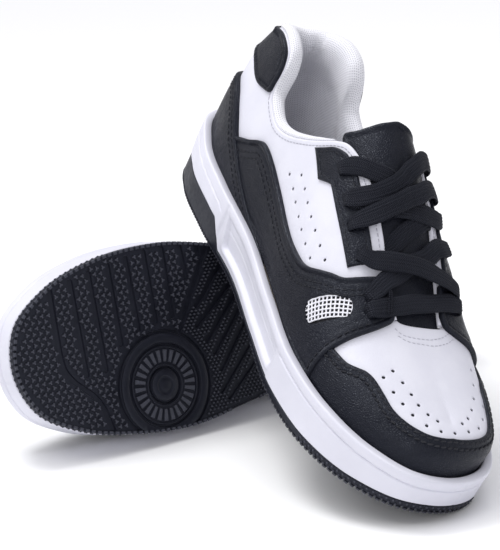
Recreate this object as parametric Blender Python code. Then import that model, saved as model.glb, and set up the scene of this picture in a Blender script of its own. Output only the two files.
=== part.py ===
"""A pair of low-cut cheer shoes: the left one lies on its inner side, the right one leans on it.

Both shoes share one design, drawn for the right foot in millimetres: x from heel to toe, +y to the
inner (medial) side, +z up, with the sole's contact plane at z = 0. The left shoe mirrors y.
A point of the upper has a place (u, v): u runs once round the sole outline, from the heel centre 0
along the outer side to the toe 0.5 and back along the inner side, and v climbs from the sole, 0,
to the ridge over the instep, 1.
"""

import math

import bmesh
import bpy
import numpy as np
from mathutils import Matrix, Vector

MM = 0.001
CLEARANCE = 0.3          # between neighbours that meet face to face
COLUMNS = 46             # mesh columns in one turn round the shoe
HEEL_COLUMNS = 92        # and in the sheets that turn round the heel

# Where the two shoes lie, in millimetres and degrees (about X, then Y, then Z).
SHOES = {
    "right": {"mirror": 1, "turn": (-15.2, 25.9, -106.2), "place": (32.5, 103.0, 118.3)},
    "left": {"mirror": -1, "turn": (102.6, -2.3, 179.4), "place": (139.9, 34.9, 44.2)},
}

# ---------------------------------------------------------------- driving dimensions

# Sole outline (x, y): heel, outer side, toe, inner side. 282 mm long and 98 mm wide.
OUTLINE = (
    (-1, 0), (0, -15), (6, -26.5), (24, -34), (60, -37.5), (105, -37), (150, -43.5), (195, -49.5),
    (231, -46), (260, -34.5), (277.5, -17.5), (281, 5), (271, 27.5), (250, 39.5), (221, 46),
    (185, 48), (145, 41.5), (105, 35), (60, 34), (24, 31), (7, 23), (0.5, 13),
)
SOLE_LENGTH = 281.0
SOLE_TOP = ((0, 39), (12, 36), (30, 32.5), (60, 30.5), (110, 27.5), (190, 26.5), (240, 27), (281, 28.5))
TOE_SPRING_START, TOE_SPRING = 205.0, 9.0
HEEL_BEVEL_END, HEEL_BEVEL = 20.0, 2.5
OUTSOLE_HEEL, OUTSOLE_WAIST, OUTSOLE_TOE = 14.0, 3.0, 4.5
HEEL_WEDGE_END, HEEL_WEDGE_RAMP = 70.0, 14.0
CUP_WALL = 3.4
CUP_DEPTH = 8.4
BOARD_THICKNESS, SOCKLINER_THICKNESS = 2.0, 3.5

FEATHER_INSET, FEATHER_DROP = 6.5, 5.0
RIDGE_HEEL_X, RIDGE_TOE_X = 12.0, 256.0
RIDGE_Y_HEEL, RIDGE_Y_TOE = 2.0, 5.0
HEEL_LEAN = 8.0             # how far the heel's top leans forward, between two heights, fading along x
LEAN_LOW, LEAN_HIGH = 76.0, 108.0
LEAN_BACK, LEAN_FRONT = 30.0, 78.0
INNER_SWELL = 3.5
RIDGE = ((12, 150), (60, 146), (95, 134), (130, 113), (170, 84), (207, 59), (235, 49.5), (256, 44))
FULLNESS = ((0, 2.0), (0.45, 2.0), (0.8, 2.3), (1, 2.5))

# Depths of the layers, measured outwards from the face of the white leather.
BASE_LAYER = (0.0, -1.4)
OVERLAY_LAYER = (2.4, 1.3)
TAB_LAYER = (2.45, 1.65)
NET_LAYER = (3.5, 3.0)
STIFFENER_LAYER = (-2.4, -3.0)
LINING_LAYER = (-3.9, -4.9)
TONGUE_FACE_LAYER = (-2.3, -3.4)
TONGUE_PAD_LAYER = (-4.2, -7.7)

COLLAR_DEPTH, COLLAR_HALF_THICK, COLLAR_HALF_TALL = -6.1, 3.2, 5.5
COLLAR_END = 0.060       # share of the top edge left bare at each end, where the tongue swings past
LACE_WIDTH, LACE_THICK = 6.4, 1.5
LACE_OVER, LACE_UNDER = 7.4, 4.9
TONGUE_HINGE = (206.0, 4.0, 52.5)


# ---------------------------------------------------------------- curves

def natural_spline(points):
    """A smooth function y(x) through (x, y) points, straight at its ends."""
    xs, ys = np.array(points, float).T
    n = len(xs)
    step = np.diff(xs)
    system, right = np.eye(n), np.zeros(n)
    for i in range(1, n - 1):
        system[i, i - 1:i + 2] = step[i - 1], 2 * (step[i - 1] + step[i]), step[i]
        right[i] = 6 * ((ys[i + 1] - ys[i]) / step[i] - (ys[i] - ys[i - 1]) / step[i - 1])
    bend = np.linalg.solve(system, right)

    def value(x):
        x = np.clip(np.asarray(x, float), xs[0], xs[-1])
        i = np.clip(np.searchsorted(xs, x) - 1, 0, n - 2)
        h, a, b = step[i], xs[i + 1] - x, x - xs[i]
        cubic = (bend[i] * a ** 3 + bend[i + 1] * b ** 3) / (6 * h)
        return cubic + (ys[i] / h - bend[i] * h / 6) * a + (ys[i + 1] / h - bend[i + 1] * h / 6) * b

    return value


def closed_loop(points, samples=720):
    """A smooth closed curve through the points, as a function of the share u of its length."""
    knots = np.array(points, float)
    n = len(knots)
    previous, following = np.roll(knots, 1, 0), np.roll(knots, -1, 0)
    chord = np.linalg.norm(following - knots, axis=1)
    before = np.roll(chord, 1)
    slope = ((knots - previous) / before[:, None] * chord[:, None]
             + (following - knots) / chord[:, None] * before[:, None]) / (chord + before)[:, None]
    fine = []
    for i in range(n):
        j = (i + 1) % n
        for t in np.arange(samples // n) / (samples // n):
            h = (2 * t ** 3 - 3 * t ** 2 + 1, t ** 3 - 2 * t ** 2 + t, 3 * t ** 2 - 2 * t ** 3, t ** 3 - t ** 2)
            fine.append(h[0] * knots[i] + h[1] * chord[i] * slope[i]
                        + h[2] * knots[j] + h[3] * chord[i] * slope[j])
    fine = np.vstack([fine, fine[:1]])
    length = np.concatenate([[0], np.cumsum(np.linalg.norm(np.diff(fine, axis=0), axis=1))])
    length /= length[-1]

    def point(u):
        u = np.mod(u, 1.0)
        return np.stack([np.interp(u, length, fine[:, 0]), np.interp(u, length, fine[:, 1])], -1)

    return point


outline = closed_loop(OUTLINE)
sole_top = natural_spline(SOLE_TOP)
ridge_height = natural_spline(RIDGE)
fullness = natural_spline(FULLNESS)


def outline_inset(u, inset):
    """A point of the sole outline moved inwards by inset."""
    tangent = outline(np.asarray(u) + 2e-3) - outline(np.asarray(u) - 2e-3)
    tangent /= np.linalg.norm(tangent, axis=-1, keepdims=True)
    inward = np.stack([-tangent[..., 1], tangent[..., 0]], -1)
    return outline(u) + inward * inset


def sole_bottom(x):
    toe = TOE_SPRING * np.clip((x - TOE_SPRING_START) / (SOLE_LENGTH - TOE_SPRING_START), 0, 1) ** 2
    return toe + HEEL_BEVEL * np.clip((HEEL_BEVEL_END - x) / HEEL_BEVEL_END, 0, 1) ** 2


def outsole_top(x):
    """Thick under the heel, thin at the waist, and again a little thicker at the toe."""
    wedge = np.clip((HEEL_WEDGE_END + HEEL_WEDGE_RAMP - x) / HEEL_WEDGE_RAMP, 0, 1)
    front = np.clip((x - 150) / 60, 0, 1)
    waist = OUTSOLE_WAIST + (OUTSOLE_TOE - OUTSOLE_WAIST) * front
    return np.clip(sole_bottom(x), 0, None) * (x > 100) + waist + (OUTSOLE_HEEL - waist) * wedge


# ---------------------------------------------------------------- surface of the upper

def eased(value, start, end):
    """Rises smoothly from 0 at start to 1 at end."""
    t = np.clip((value - start) / (end - start), 0, 1)
    return t * t * (3 - 2 * t)


def inner_swell(u, v):
    """How far the inner side of the forefoot bulges out over the sole."""
    u = u % 1.0
    return (INNER_SWELL * eased(u, 0.49, 0.56) * eased(u, 0.70, 0.62)
            * eased(v, 0.20, 0.55) * eased(v, 1.05, 0.60))


def raw_surface(u, v):
    u, v = np.broadcast_arrays(np.asarray(u, float), np.asarray(v, float))
    foot = outline_inset(u, FEATHER_INSET)
    foot_z = sole_top(outline(u)[..., 0]) - FEATHER_DROP
    along = (1 - np.cos(2 * np.pi * u)) / 2
    ridge_x = RIDGE_HEEL_X + (RIDGE_TOE_X - RIDGE_HEEL_X) * along
    ridge_y = RIDGE_Y_HEEL + (RIDGE_Y_TOE - RIDGE_Y_HEEL) * along
    ridge_z = ridge_height(ridge_x)
    power = 2 / fullness(along)
    angle = np.clip(v, 0, 1) * np.pi / 2
    across, climb = 1 - np.cos(angle) ** power, np.sin(angle) ** power
    x = foot[..., 0] + (ridge_x - foot[..., 0]) * across
    y = foot[..., 1] + (ridge_y - foot[..., 1]) * across
    z = foot_z + (ridge_z - foot_z) * climb
    rise = np.clip((z - LEAN_LOW) / (LEAN_HIGH - LEAN_LOW), 0, 1)
    back = np.clip((LEAN_FRONT - x) / (LEAN_FRONT - LEAN_BACK), 0, 1)
    return np.stack([x + HEEL_LEAN * rise * rise * (3 - 2 * rise) * back, y + inner_swell(u, v), z], -1)


def surface_normal(u, v):
    u, v = np.broadcast_arrays(np.asarray(u, float), np.asarray(v, float))
    step = 2e-3
    v = np.clip(v, step, 1 - step)
    along = raw_surface(u + step / 4, v) - raw_surface(u - step / 4, v)
    up = raw_surface(u, v + step) - raw_surface(u, v - step)
    normal = np.cross(along, up)
    return normal / np.linalg.norm(normal, axis=-1, keepdims=True)


def skin(u, v, depth):
    """A point of the upper, moved outwards by depth. The two sides share one normal on the ridge."""
    u, v = np.broadcast_arrays(np.asarray(u, float), np.asarray(v, float))
    share = np.clip((v - 0.85) / 0.15, 0, 1)[..., None] / 2
    normal = surface_normal(u, v) * (1 - share) + surface_normal(1 - u, v) * share
    normal /= np.linalg.norm(normal, axis=-1, keepdims=True)
    return raw_surface(u, v) + normal * depth


# ---------------------------------------------------------------- mesh builders

def material(name, colour, roughness):
    shader = bpy.data.materials.new(name)
    shader.use_nodes = True
    principled = shader.node_tree.nodes["Principled BSDF"]
    principled.inputs["Base Color"].default_value = (*colour, 1)
    principled.inputs["Roughness"].default_value = roughness
    return shader


def make_object(name, points, faces, shader, parent, mirror):
    """One closed body in the shoe's own frame, placed by its parent empty."""
    mesh = bpy.data.meshes.new(name)
    points = np.asarray(points, float) * MM * (1, mirror, 1)
    mesh.from_pydata(points.tolist(), [], faces)
    shape = bmesh.new()
    shape.from_mesh(mesh)
    bmesh.ops.remove_doubles(shape, verts=shape.verts, dist=0.02 * MM)
    bmesh.ops.dissolve_degenerate(shape, edges=shape.edges, dist=0.01 * MM)
    bmesh.ops.recalc_face_normals(shape, faces=shape.faces)
    shape.to_mesh(mesh)
    shape.free()
    mesh.materials.append(shader)
    mesh.shade_smooth()
    mesh.set_sharp_from_angle(angle=math.radians(40))
    piece = bpy.data.objects.new(name, mesh)
    bpy.context.scene.collection.objects.link(piece)
    piece.parent = parent
    return piece


def grid_faces(rows, columns, start=0, flip=False):
    faces = []
    for i in range(rows - 1):
        for j in range(columns - 1):
            a = start + i * columns + j
            face = (a, a + 1, a + columns + 1, a + columns)
            faces.append(face[::-1] if flip else face)
    return faces


def sheet_body(outer, inner, folded=False):
    """Points and faces of a closed body between two grids. A folded one's last row closes on itself."""
    rows, columns = outer.shape[:2]
    count = rows * columns
    faces = grid_faces(rows, columns) + grid_faces(rows, columns, count, flip=True)
    rim = [i * columns for i in range(rows)]
    rim += [(rows - 1) * columns + j for j in range(1, columns)]
    rim += [i * columns + columns - 1 for i in range(rows - 2, -1, -1)]
    rim += list(range(columns - 2, 0, -1))
    for a, b in zip(rim, rim[1:] + rim[:1]):
        if not (folded and min(a, b) >= (rows - 1) * columns):
            faces.append((a, b, b + count, a + count))
    return np.vstack([outer.reshape(-1, 3), inner.reshape(-1, 3)]), faces


def panel_body(lower, upper, layer, rows, columns=COLUMNS):
    """A sheet between two edges given by matched (u, v) points, with a mesh column at each point."""
    lower, upper = np.array(lower, float), np.array(upper, float)
    grid = []
    for i in range(len(lower) - 1):
        reach = max(abs(lower[i + 1, 0] - lower[i, 0]), abs(upper[i + 1, 0] - upper[i, 0]))
        steps = max(1, round(reach * columns))
        for k in range(steps + (i == len(lower) - 2)):
            t = k / steps
            grid.append((lower[i] * (1 - t) + lower[i + 1] * t, upper[i] * (1 - t) + upper[i + 1] * t))
    low, high = np.array([g[0] for g in grid]), np.array([g[1] for g in grid])
    share = np.linspace(0, 1, rows + 1)[None, :, None]
    uv = low[:, None, :] * (1 - share) + high[:, None, :] * share
    return sheet_body(skin(uv[..., 0], uv[..., 1], layer[0]), skin(uv[..., 0], uv[..., 1], layer[1]))


def ridge_body(edge, layer, rows):
    """A sheet that crosses the ridge, between an outer-side edge of (u, v) points and its mirror."""
    edge = np.array(edge, float)
    share = np.linspace(0, 1, rows + 1)[None, :]
    u = np.broadcast_to(edge[:, :1], (len(edge), rows + 1))
    v = edge[:, 1:] * (1 - share) + share
    u = np.concatenate([u, 1 - u[:, -2::-1]], 1)
    v = np.concatenate([v, v[:, -2::-1]], 1)
    return sheet_body(skin(u, v, layer[0]), skin(u, v, layer[1]), folded=edge[-1, 0] == 0.5)


def ring(inset, height, count=COLUMNS):
    """Points of the outline moved inwards, at a height that follows x."""
    u = np.arange(count) / count
    plan = outline_inset(u, inset)
    level = height(outline(u)[:, 0]) if callable(height) else np.full(count, height)
    return np.column_stack([plan, level])


def stack_body(rings):
    """A closed body through rings of equal size, with a ladder of faces across the first and last."""
    count = len(rings[0])
    faces = []
    for level in range(len(rings) - 1):
        for i in range(count):
            j = (i + 1) % count
            a, b = level * count, (level + 1) * count
            faces.append((a + i, a + j, b + j, b + i))
    for start, flip in ((0, True), ((len(rings) - 1) * count, False)):
        for i in range(count // 2):
            a, b, c, d = (start + k % count for k in (i, i + 1, count - i - 1, count - i))
            for face in ((a, b, c), (a, c, d)):
                if len(set(face)) == 3:
                    faces.append(face[::-1] if flip else face)
    return np.vstack(rings), faces


def tube_body(centres, sides, normals, half_wide, half_thick, corners):
    """A closed sweep of an oval (or a flat box, with four corners) along a path."""
    angles = 2 * np.pi * (np.arange(corners) + 0.5) / corners
    scale = 1 / math.cos(math.pi / corners) if corners == 4 else 1.0
    rings = [c + scale * (np.cos(angles)[:, None] * s * half_wide + np.sin(angles)[:, None] * n * half_thick)
             for c, s, n in zip(centres, sides, normals)]
    faces = []
    for level in range(len(rings) - 1):
        for i in range(corners):
            j = (i + 1) % corners
            a, b = level * corners, (level + 1) * corners
            faces.append((a + i, a + j, b + j, b + i))
    last = (len(rings) - 1) * corners
    faces.append(tuple(range(corners))[::-1])
    faces.append(tuple(range(last, last + corners)))
    return np.vstack(rings), faces


# ---------------------------------------------------------------- sole

def lowered(height, by):
    return lambda x: height(x) - by


def outsole_body():
    chamfer = 1.2
    return stack_body([ring(chamfer, sole_bottom), ring(0.3, lowered(sole_bottom, -chamfer)), ring(0.3, outsole_top)])


def midsole_body():
    """A cup: a full-length slab whose rim wraps the lower edge of the upper."""
    bottom = lowered(outsole_top, -CLEARANCE)
    return stack_body([
        ring(0.3, bottom), ring(0.0, lowered(sole_top, 9)), ring(0.8, sole_top),
        ring(CUP_WALL, sole_top), ring(CUP_WALL, lowered(sole_top, CUP_DEPTH)),
    ])


def board_body():
    low = CUP_DEPTH - CLEARANCE
    return stack_body([ring(CUP_WALL + 1, lowered(sole_top, low)),
                       ring(CUP_WALL + 1, lowered(sole_top, low - BOARD_THICKNESS))])


def sockliner_body():
    low = CUP_DEPTH - BOARD_THICKNESS - 2 * CLEARANCE
    inset = FEATHER_INSET - LINING_LAYER[1] + 0.8
    return stack_body([ring(inset, lowered(sole_top, low)),
                       ring(inset, lowered(sole_top, low - SOCKLINER_THICKNESS))])


# ---------------------------------------------------------------- outer panels

def both_sides(half):
    """Points of the outer side followed by their mirror images on the inner side."""
    return list(half) + [(1 - u, v) for u, v in reversed(half) if u != 0.5]


def around_heel(half):
    """Points from the inner side, round the heel at u = 0, to the outer side."""
    return [(-u, v) for u, v in reversed(half) if u != 0] + list(half)


# Top edge of the shoe from the heel centre to the front of the collar, then down the facing.
TOPLINE = ((0, 0.385), (0.030, 0.400), (0.050, 0.425), (0.067, 0.446), (0.085, 0.450), (0.100, 0.438),
           (0.108, 0.414), (0.1135, 0.384), (0.1175, 0.338), (0.122, 0.308), (0.132, 0.290), (0.147, 0.280),
           (0.164, 0.302), (0.184, 0.361), (0.200, 0.430), (0.2144, 0.514), (0.2256, 0.580), (0.238, 0.635))
FACING = ((0.258, 0.708), (0.288, 0.785), (0.307, 0.817), (0.348, 0.862))
# The padded roll takes the corners of the top edge more gently.
COLLAR_LINE = ((0, 0.385), (0.045, 0.405), (0.085, 0.415), (0.105, 0.380), (0.122, 0.325), (0.143, 0.290),
               (0.164, 0.302), (0.184, 0.361), (0.200, 0.430), (0.2144, 0.514))
QUARTER_TOP = TOPLINE + FACING
TOE_CAP_TOP = ((0.360, 0.36), (0.372, 0.41), (0.386, 0.52), (0.398, 0.545), (0.426, 0.522),
               (0.442, 0.535), (0.461, 0.58), (0.482, 0.65), (0.5, 0.70))
OVERLAY_LOW = ((0.108, 0.10), (0.128, 0.085), (0.150, 0.06), (0.170, 0.04), (0.20, 0.03), (0.23, 0.03),
               (0.256, 0.03), (0.283, 0.03), (0.298, 0.03), (0.312, 0.03), (0.330, 0.03), (0.354, 0.03))
OVERLAY_TOP = ((0.108, 0.125), (0.128, 0.17), (0.148, 0.215), (0.168, 0.214), (0.193, 0.195), (0.219, 0.189),
               (0.256, 0.214), (0.283, 0.285), (0.298, 0.40), (0.308, 0.54), (0.320, 0.70), (0.346, 0.82))
FOXING_TOP = ((0, 0.172), (0.030, 0.186), (0.053, 0.200), (0.070, 0.190), (0.084, 0.155), (0.100, 0.11),
              (0.125, 0.07), (0.155, 0.045))
TAB_TOP = ((0, 0.380), (0.030, 0.395), (0.050, 0.419), (0.067, 0.440), (0.085, 0.444), (0.099, 0.432),
           (0.1062, 0.404), (0.1100, 0.378))
TAB_LOW = ((0, 0.300), (0.050, 0.297), (0.0767, 0.291), (0.0944, 0.287), (0.108, 0.300))
EYESTAY_LOW = ((0.203, 0.405), (0.226, 0.392), (0.240, 0.465), (0.267, 0.49), (0.302, 0.54))
EYESTAY_TOP = ((0.220, 0.505), (0.238, 0.585), (0.250, 0.625), (0.275, 0.675), (0.303, 0.71))
NET_LOW = ((0.312, 0.235), (0.320, 0.225), (0.334, 0.30), (0.341, 0.42))
NET_TOP = ((0.306, 0.275), (0.309, 0.36), (0.319, 0.47), (0.331, 0.50))


def at_height(points, v):
    return [(u, v) for u, _ in points]


def flip(edge):
    """The same edge on the inner side of the shoe."""
    return [(1 - u, v) for u, v in edge]


def shoe_panels():
    """Name, body and material of each sheet of the upper. A medial sheet mirrors its lateral one."""
    quarter_low = at_height(QUARTER_TOP, 0.03)
    quarter_low[0], quarter_top = (0.004, 0.03), list(QUARTER_TOP)
    quarter_top[0] = (0.004, TOPLINE[0][1])
    yield "lateral_quarter", panel_body(quarter_low, quarter_top, BASE_LAYER, 6, HEEL_COLUMNS), "white_leather"
    inner_low, inner_top = flip(quarter_low), flip(quarter_top)
    yield "medial_quarter", panel_body(inner_low, inner_top, BASE_LAYER, 6, HEEL_COLUMNS), "white_leather"
    vamp_edge = [(u, 0.03) for u in np.linspace(0.356, 0.5, 8)]
    yield "vamp", ridge_body(vamp_edge, BASE_LAYER, 6), "white_leather"
    cap_top = both_sides(TOE_CAP_TOP)
    yield "toe_cap", panel_body(at_height(cap_top, 0.03), cap_top, OVERLAY_LAYER, 3), "black_leather"
    for side, turn in (("lateral", list), ("medial", flip)):
        yield side + "_overlay", panel_body(turn(OVERLAY_LOW), turn(OVERLAY_TOP), OVERLAY_LAYER, 5), "black_leather"
    fox_top, tab_low, tab_top = around_heel(FOXING_TOP), around_heel(TAB_LOW), around_heel(TAB_TOP)
    fox_low = at_height(fox_top, 0.03)
    yield "heel_foxing", panel_body(fox_low, fox_top, OVERLAY_LAYER, 3, HEEL_COLUMNS), "black_leather"
    yield "heel_tab", panel_body(tab_low, tab_top, TAB_LAYER, 4, HEEL_COLUMNS), "black_leather"
    for side, turn in (("lateral", list), ("medial", flip)):
        yield side + "_eyestay", panel_body(turn(EYESTAY_LOW), turn(EYESTAY_TOP), OVERLAY_LAYER, 2), "black_leather"
        yield side + "_vent_net", panel_body(turn(NET_LOW), turn(NET_TOP), NET_LAYER, 2), "white_net"


# ---------------------------------------------------------------- hidden layers

COUNTER_TOP = ((0, 0.28), (0.06, 0.26), (0.12, 0.18), (0.16, 0.12))
PUFF_TOP = ((0.42, 0.40), (0.45, 0.52), (0.48, 0.60), (0.5, 0.62))
LINING_TOP = ((0, 0.28), (0.05, 0.275), (0.1, 0.25), (0.143, 0.20), (0.165, 0.215), (0.19, 0.30),
              (0.21, 0.40), (0.23, 0.48), (0.25, 0.53), (0.30, 0.57), (0.352, 0.60))


def hidden_panels():
    counter_top, lining_top = around_heel(COUNTER_TOP), around_heel(LINING_TOP)
    puff_top = both_sides(PUFF_TOP)
    counter_low = at_height(counter_top, 0.04)
    yield "heel_counter", panel_body(counter_low, counter_top, STIFFENER_LAYER, 4, HEEL_COLUMNS), "stiffener"
    yield "toe_puff", panel_body(at_height(puff_top, 0.04), puff_top, STIFFENER_LAYER, 2), "stiffener"
    lining_low = at_height(lining_top, 0.04)
    yield "quarter_lining", panel_body(lining_low, lining_top, LINING_LAYER, 3), "white_mesh"
    lining_edge = [(u, 0.04) for u in np.linspace(0.362, 0.5, 7)]
    yield "vamp_lining", ridge_body(lining_edge, LINING_LAYER, 5), "white_mesh"


def collar_body():
    """The padded roll along the inside of the top edge, from one facing round the heel to the other."""
    knots = np.array(around_heel(COLLAR_LINE))
    place = np.linspace(0, 1, len(knots))
    fine = np.linspace(COLLAR_END, 1 - COLLAR_END, 33)
    u = np.interp(fine, place, knots[:, 0])
    v = np.interp(fine, place, knots[:, 1]) - 0.035
    centres = skin(u, v, COLLAR_DEPTH)
    normals = surface_normal(u, v)
    run = np.gradient(centres, axis=0)
    run /= np.linalg.norm(run, axis=1, keepdims=True)
    sides = np.cross(normals, run)
    sides /= np.linalg.norm(sides, axis=1, keepdims=True)
    return tube_body(centres, sides, normals, COLLAR_HALF_TALL, COLLAR_HALF_THICK, 8)


# ---------------------------------------------------------------- tongue and lace

TONGUE_EDGE = ((0.350, 0.76), (0.335, 0.74), (0.315, 0.70), (0.295, 0.665), (0.275, 0.635), (0.258, 0.62),
               (0.243, 0.62), (0.230, 0.64))


def tongue_panels():
    yield "tongue_face", ridge_body(TONGUE_EDGE, TONGUE_FACE_LAYER, 3), "black_leather"
    inside = [(u, v + 0.02) for u, v in TONGUE_EDGE]
    yield "tongue_padding", ridge_body(inside, TONGUE_PAD_LAYER, 3), "white_mesh"


# Eyelets on the outer side, from the collar down to the toe, as (u, v).
EYELETS = ((0.235, 0.52), (0.256, 0.555), (0.275, 0.575), (0.297, 0.61), (0.325, 0.665), (0.340, 0.70))


def eyelet(side, row):
    u, v = EYELETS[row - 1]
    return (u, v) if side == "outer" else (1 - u, v)


def lace_route():
    """(side, row, height) of the lace's turning points, in order from one end to the other."""
    low, high = LACE_UNDER, LACE_OVER
    return (("inner", 1, low), ("outer", 2, low), ("outer", 3, low), ("inner", 4, low),
            ("inner", 5, low), ("inner", 6, low), ("outer", 6, low), ("outer", 5, high),
            ("outer", 4, high), ("inner", 3, high), ("inner", 2, high), ("outer", 1, high))


def folded_u(place):
    """The u of a place on either side, as if it were on the outer side."""
    return min(place[0], 1 - place[0])


def lace_body():
    """A flat lace that zigzags between the eyelet rows, crossing over itself above the tongue."""
    points = []
    stops = lace_route()
    for (side_a, row_a, high_a), (side_b, row_b, high_b) in zip(stops, stops[1:]):
        start, end = np.array(eyelet(side_a, row_a)), np.array(eyelet(side_b, row_b))
        crossing = side_a != side_b
        for t in np.linspace(0.06, 0.94, 9) if crossing else (0.5,):
            arch = math.sin(math.pi * t)
            if crossing:
                reach = 2 * t if t < 0.5 else 2 - 2 * t
                edge_v = start[1] * (1 - t) + end[1] * t
                u = folded_u(start) * (1 - t) + folded_u(end) * t
                on_outer = (side_a == "outer") == (t < 0.5)
                v = edge_v + (1 - edge_v) * reach
                spot = (u if on_outer else 1 - u, v)
                lift = LACE_UNDER + (max(high_a, high_b) - LACE_UNDER) * arch
            else:
                spot = (start + end) / 2
                lift = LACE_UNDER
            points.append(skin(*spot, lift))
    centres = np.array(points)
    run = np.gradient(centres, axis=0)
    run /= np.linalg.norm(run, axis=1, keepdims=True)
    core = np.column_stack([centres[:, 0] - 12, np.full(len(centres), 4.0), np.full(len(centres), 20.0)])
    normals = centres - core
    normals -= (normals * run).sum(1, keepdims=True) * run
    normals /= np.linalg.norm(normals, axis=1, keepdims=True)
    sides = np.cross(normals, run)
    return tube_body(centres, sides, normals, LACE_WIDTH / 2, LACE_THICK / 2, 4)


# ---------------------------------------------------------------- the pair

def clear_scene():
    for item in list(bpy.data.objects):
        bpy.data.objects.remove(item, do_unlink=True)


def shoe_materials():
    return {
        "white_leather": material("white_leather", (0.84, 0.84, 0.90), 0.5),
        "black_leather": material("black_leather", (0.017, 0.018, 0.028), 0.45),
        "white_mesh": material("white_mesh", (0.80, 0.80, 0.85), 0.9),
        "white_net": material("white_net", (0.85, 0.85, 0.88), 0.6),
        "stiffener": material("stiffener", (0.62, 0.57, 0.48), 0.8),
        "white_sole": material("white_sole", (0.84, 0.84, 0.90), 0.45),
        "black_rubber": material("black_rubber", (0.022, 0.022, 0.028), 0.6),
        "black_lace": material("black_lace", (0.014, 0.014, 0.018), 0.85),
    }


def build_shoe(side, setting, shaders):
    holder = bpy.data.objects.new(side + "_shoe_frame", None)
    bpy.context.scene.collection.objects.link(holder)
    holder.location = Vector(setting["place"]) * MM
    holder.rotation_euler = [math.radians(angle) for angle in setting["turn"]]
    hinge = bpy.data.objects.new(side + "_tongue_hinge", None)
    bpy.context.scene.collection.objects.link(hinge)
    hinge.parent = holder
    spot = Vector(TONGUE_HINGE) * MM
    spot.y *= setting["mirror"]
    hinge.location = spot

    def add(name, body, slot):
        return make_object(side + "_" + name, *body, shaders[slot], holder, setting["mirror"])

    add("outsole", outsole_body(), "black_rubber")
    add("midsole", midsole_body(), "white_sole")
    add("insole_board", board_body(), "stiffener")
    add("sockliner", sockliner_body(), "white_mesh")
    for name, body, slot in (*shoe_panels(), *hidden_panels()):
        add(name, body, slot)
    add("collar_padding", collar_body(), "white_mesh")
    add("lace", lace_body(), "black_lace")
    for name, body, slot in tongue_panels():
        flap = add(name, body, slot)
        flap.data.transform(Matrix.Translation(-spot))
        flap.parent = hinge


def main():
    clear_scene()
    shaders = shoe_materials()
    for side, setting in SHOES.items():
        build_shoe(side, setting, shaders)


main()
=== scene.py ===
"""A pair of cheer shoes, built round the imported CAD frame.

Both shoes share one design, drawn for the right foot in millimetres: x from heel to toe, +y to the
inner side, +z up. The left shoe mirrors y. A place on the upper is (u, v): u runs once round the
sole outline, from the heel 0 along the outer side to the toe 0.5 and back, and v climbs from the
sole, 0, to the ridge over the instep, 1. A folded place (u, c) has c = 0 on the ridge, minus on
the outer side and plus on the inner one.
"""

import math

import bpy
import numpy as np
from mathutils import Euler, Matrix, Vector
from mathutils.geometry import delaunay_2d_cdt


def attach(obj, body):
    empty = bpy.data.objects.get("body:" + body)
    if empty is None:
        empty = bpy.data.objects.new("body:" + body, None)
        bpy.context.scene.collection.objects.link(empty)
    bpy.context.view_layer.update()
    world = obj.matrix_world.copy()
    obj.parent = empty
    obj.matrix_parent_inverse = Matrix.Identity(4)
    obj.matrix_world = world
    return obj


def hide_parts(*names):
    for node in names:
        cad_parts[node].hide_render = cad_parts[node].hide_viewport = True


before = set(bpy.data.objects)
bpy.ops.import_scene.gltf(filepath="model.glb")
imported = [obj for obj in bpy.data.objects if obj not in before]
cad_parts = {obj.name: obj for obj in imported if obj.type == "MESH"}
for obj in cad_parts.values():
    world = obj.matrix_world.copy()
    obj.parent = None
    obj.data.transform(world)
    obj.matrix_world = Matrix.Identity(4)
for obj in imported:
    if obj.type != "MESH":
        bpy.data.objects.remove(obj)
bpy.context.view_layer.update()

MM = 0.001
SHOES = {
    "right": {"mirror": 1, "turn": (-15.2, 25.9, -106.2), "place": (32.5, 103.0, 118.3)},
    "left": {"mirror": -1, "turn": (102.6, -2.3, 179.4), "place": (139.9, 34.9, 44.2)},
}

# ---------------------------------------------------------------- the last and the sole, as in the CAD

OUTLINE = (
    (-1, 0), (0, -15), (6, -26.5), (24, -34), (60, -37.5), (105, -37), (150, -43.5), (195, -49.5),
    (231, -46), (260, -34.5), (277.5, -17.5), (281, 5), (271, 27.5), (250, 39.5), (221, 46),
    (185, 48), (145, 41.5), (105, 35), (60, 34), (24, 31), (7, 23), (0.5, 13),
)
SOLE_LENGTH = 281.0
SOLE_TOP = ((0, 39), (12, 36), (30, 32.5), (60, 30.5), (110, 27.5), (190, 26.5), (240, 27), (281, 28.5))
TOE_SPRING_START, TOE_SPRING = 205.0, 9.0
HEEL_BEVEL_END, HEEL_BEVEL = 20.0, 2.5
OUTSOLE_HEEL, OUTSOLE_WAIST, OUTSOLE_TOE = 14.0, 3.0, 4.5
HEEL_WEDGE_END, HEEL_WEDGE_RAMP = 70.0, 14.0
WAIST_END, TOE_RAMP = 150.0, 60.0
CUP_DEPTH = 8.4
FEATHER_INSET, FEATHER_DROP = 6.5, 5.0
HEEL_LEAN = 8.0                  # how far the heel's top leans forward
LEAN_LOW, LEAN_HIGH = 76.0, 108.0
LEAN_BACK, LEAN_FRONT = 30.0, 78.0
INNER_SWELL = 5.5                # how far the inner forefoot bulges out
STEP = 2e-3                      # the difference in u or v that slopes are measured over
RIDGE_HEEL_X, RIDGE_TOE_X = 12.0, 256.0
RIDGE_Y_HEEL, RIDGE_Y_TOE = 2.0, 5.0
RIDGE = ((12, 150), (60, 146), (95, 134), (130, 113), (170, 84), (207, 59), (235, 49.5), (256, 44))
FULLNESS = ((0, 2.0), (0.45, 2.0), (0.8, 2.3), (1, 2.5))
ROUND, CLIMB = 660.0, 150.0      # rough lengths in mm of u and of v
FLAT_STRETCH = 2.5               # spreads the sides in the plane map that the panels are cut in


def unit(vectors):
    return vectors / np.linalg.norm(vectors, axis=-1, keepdims=True)


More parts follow.
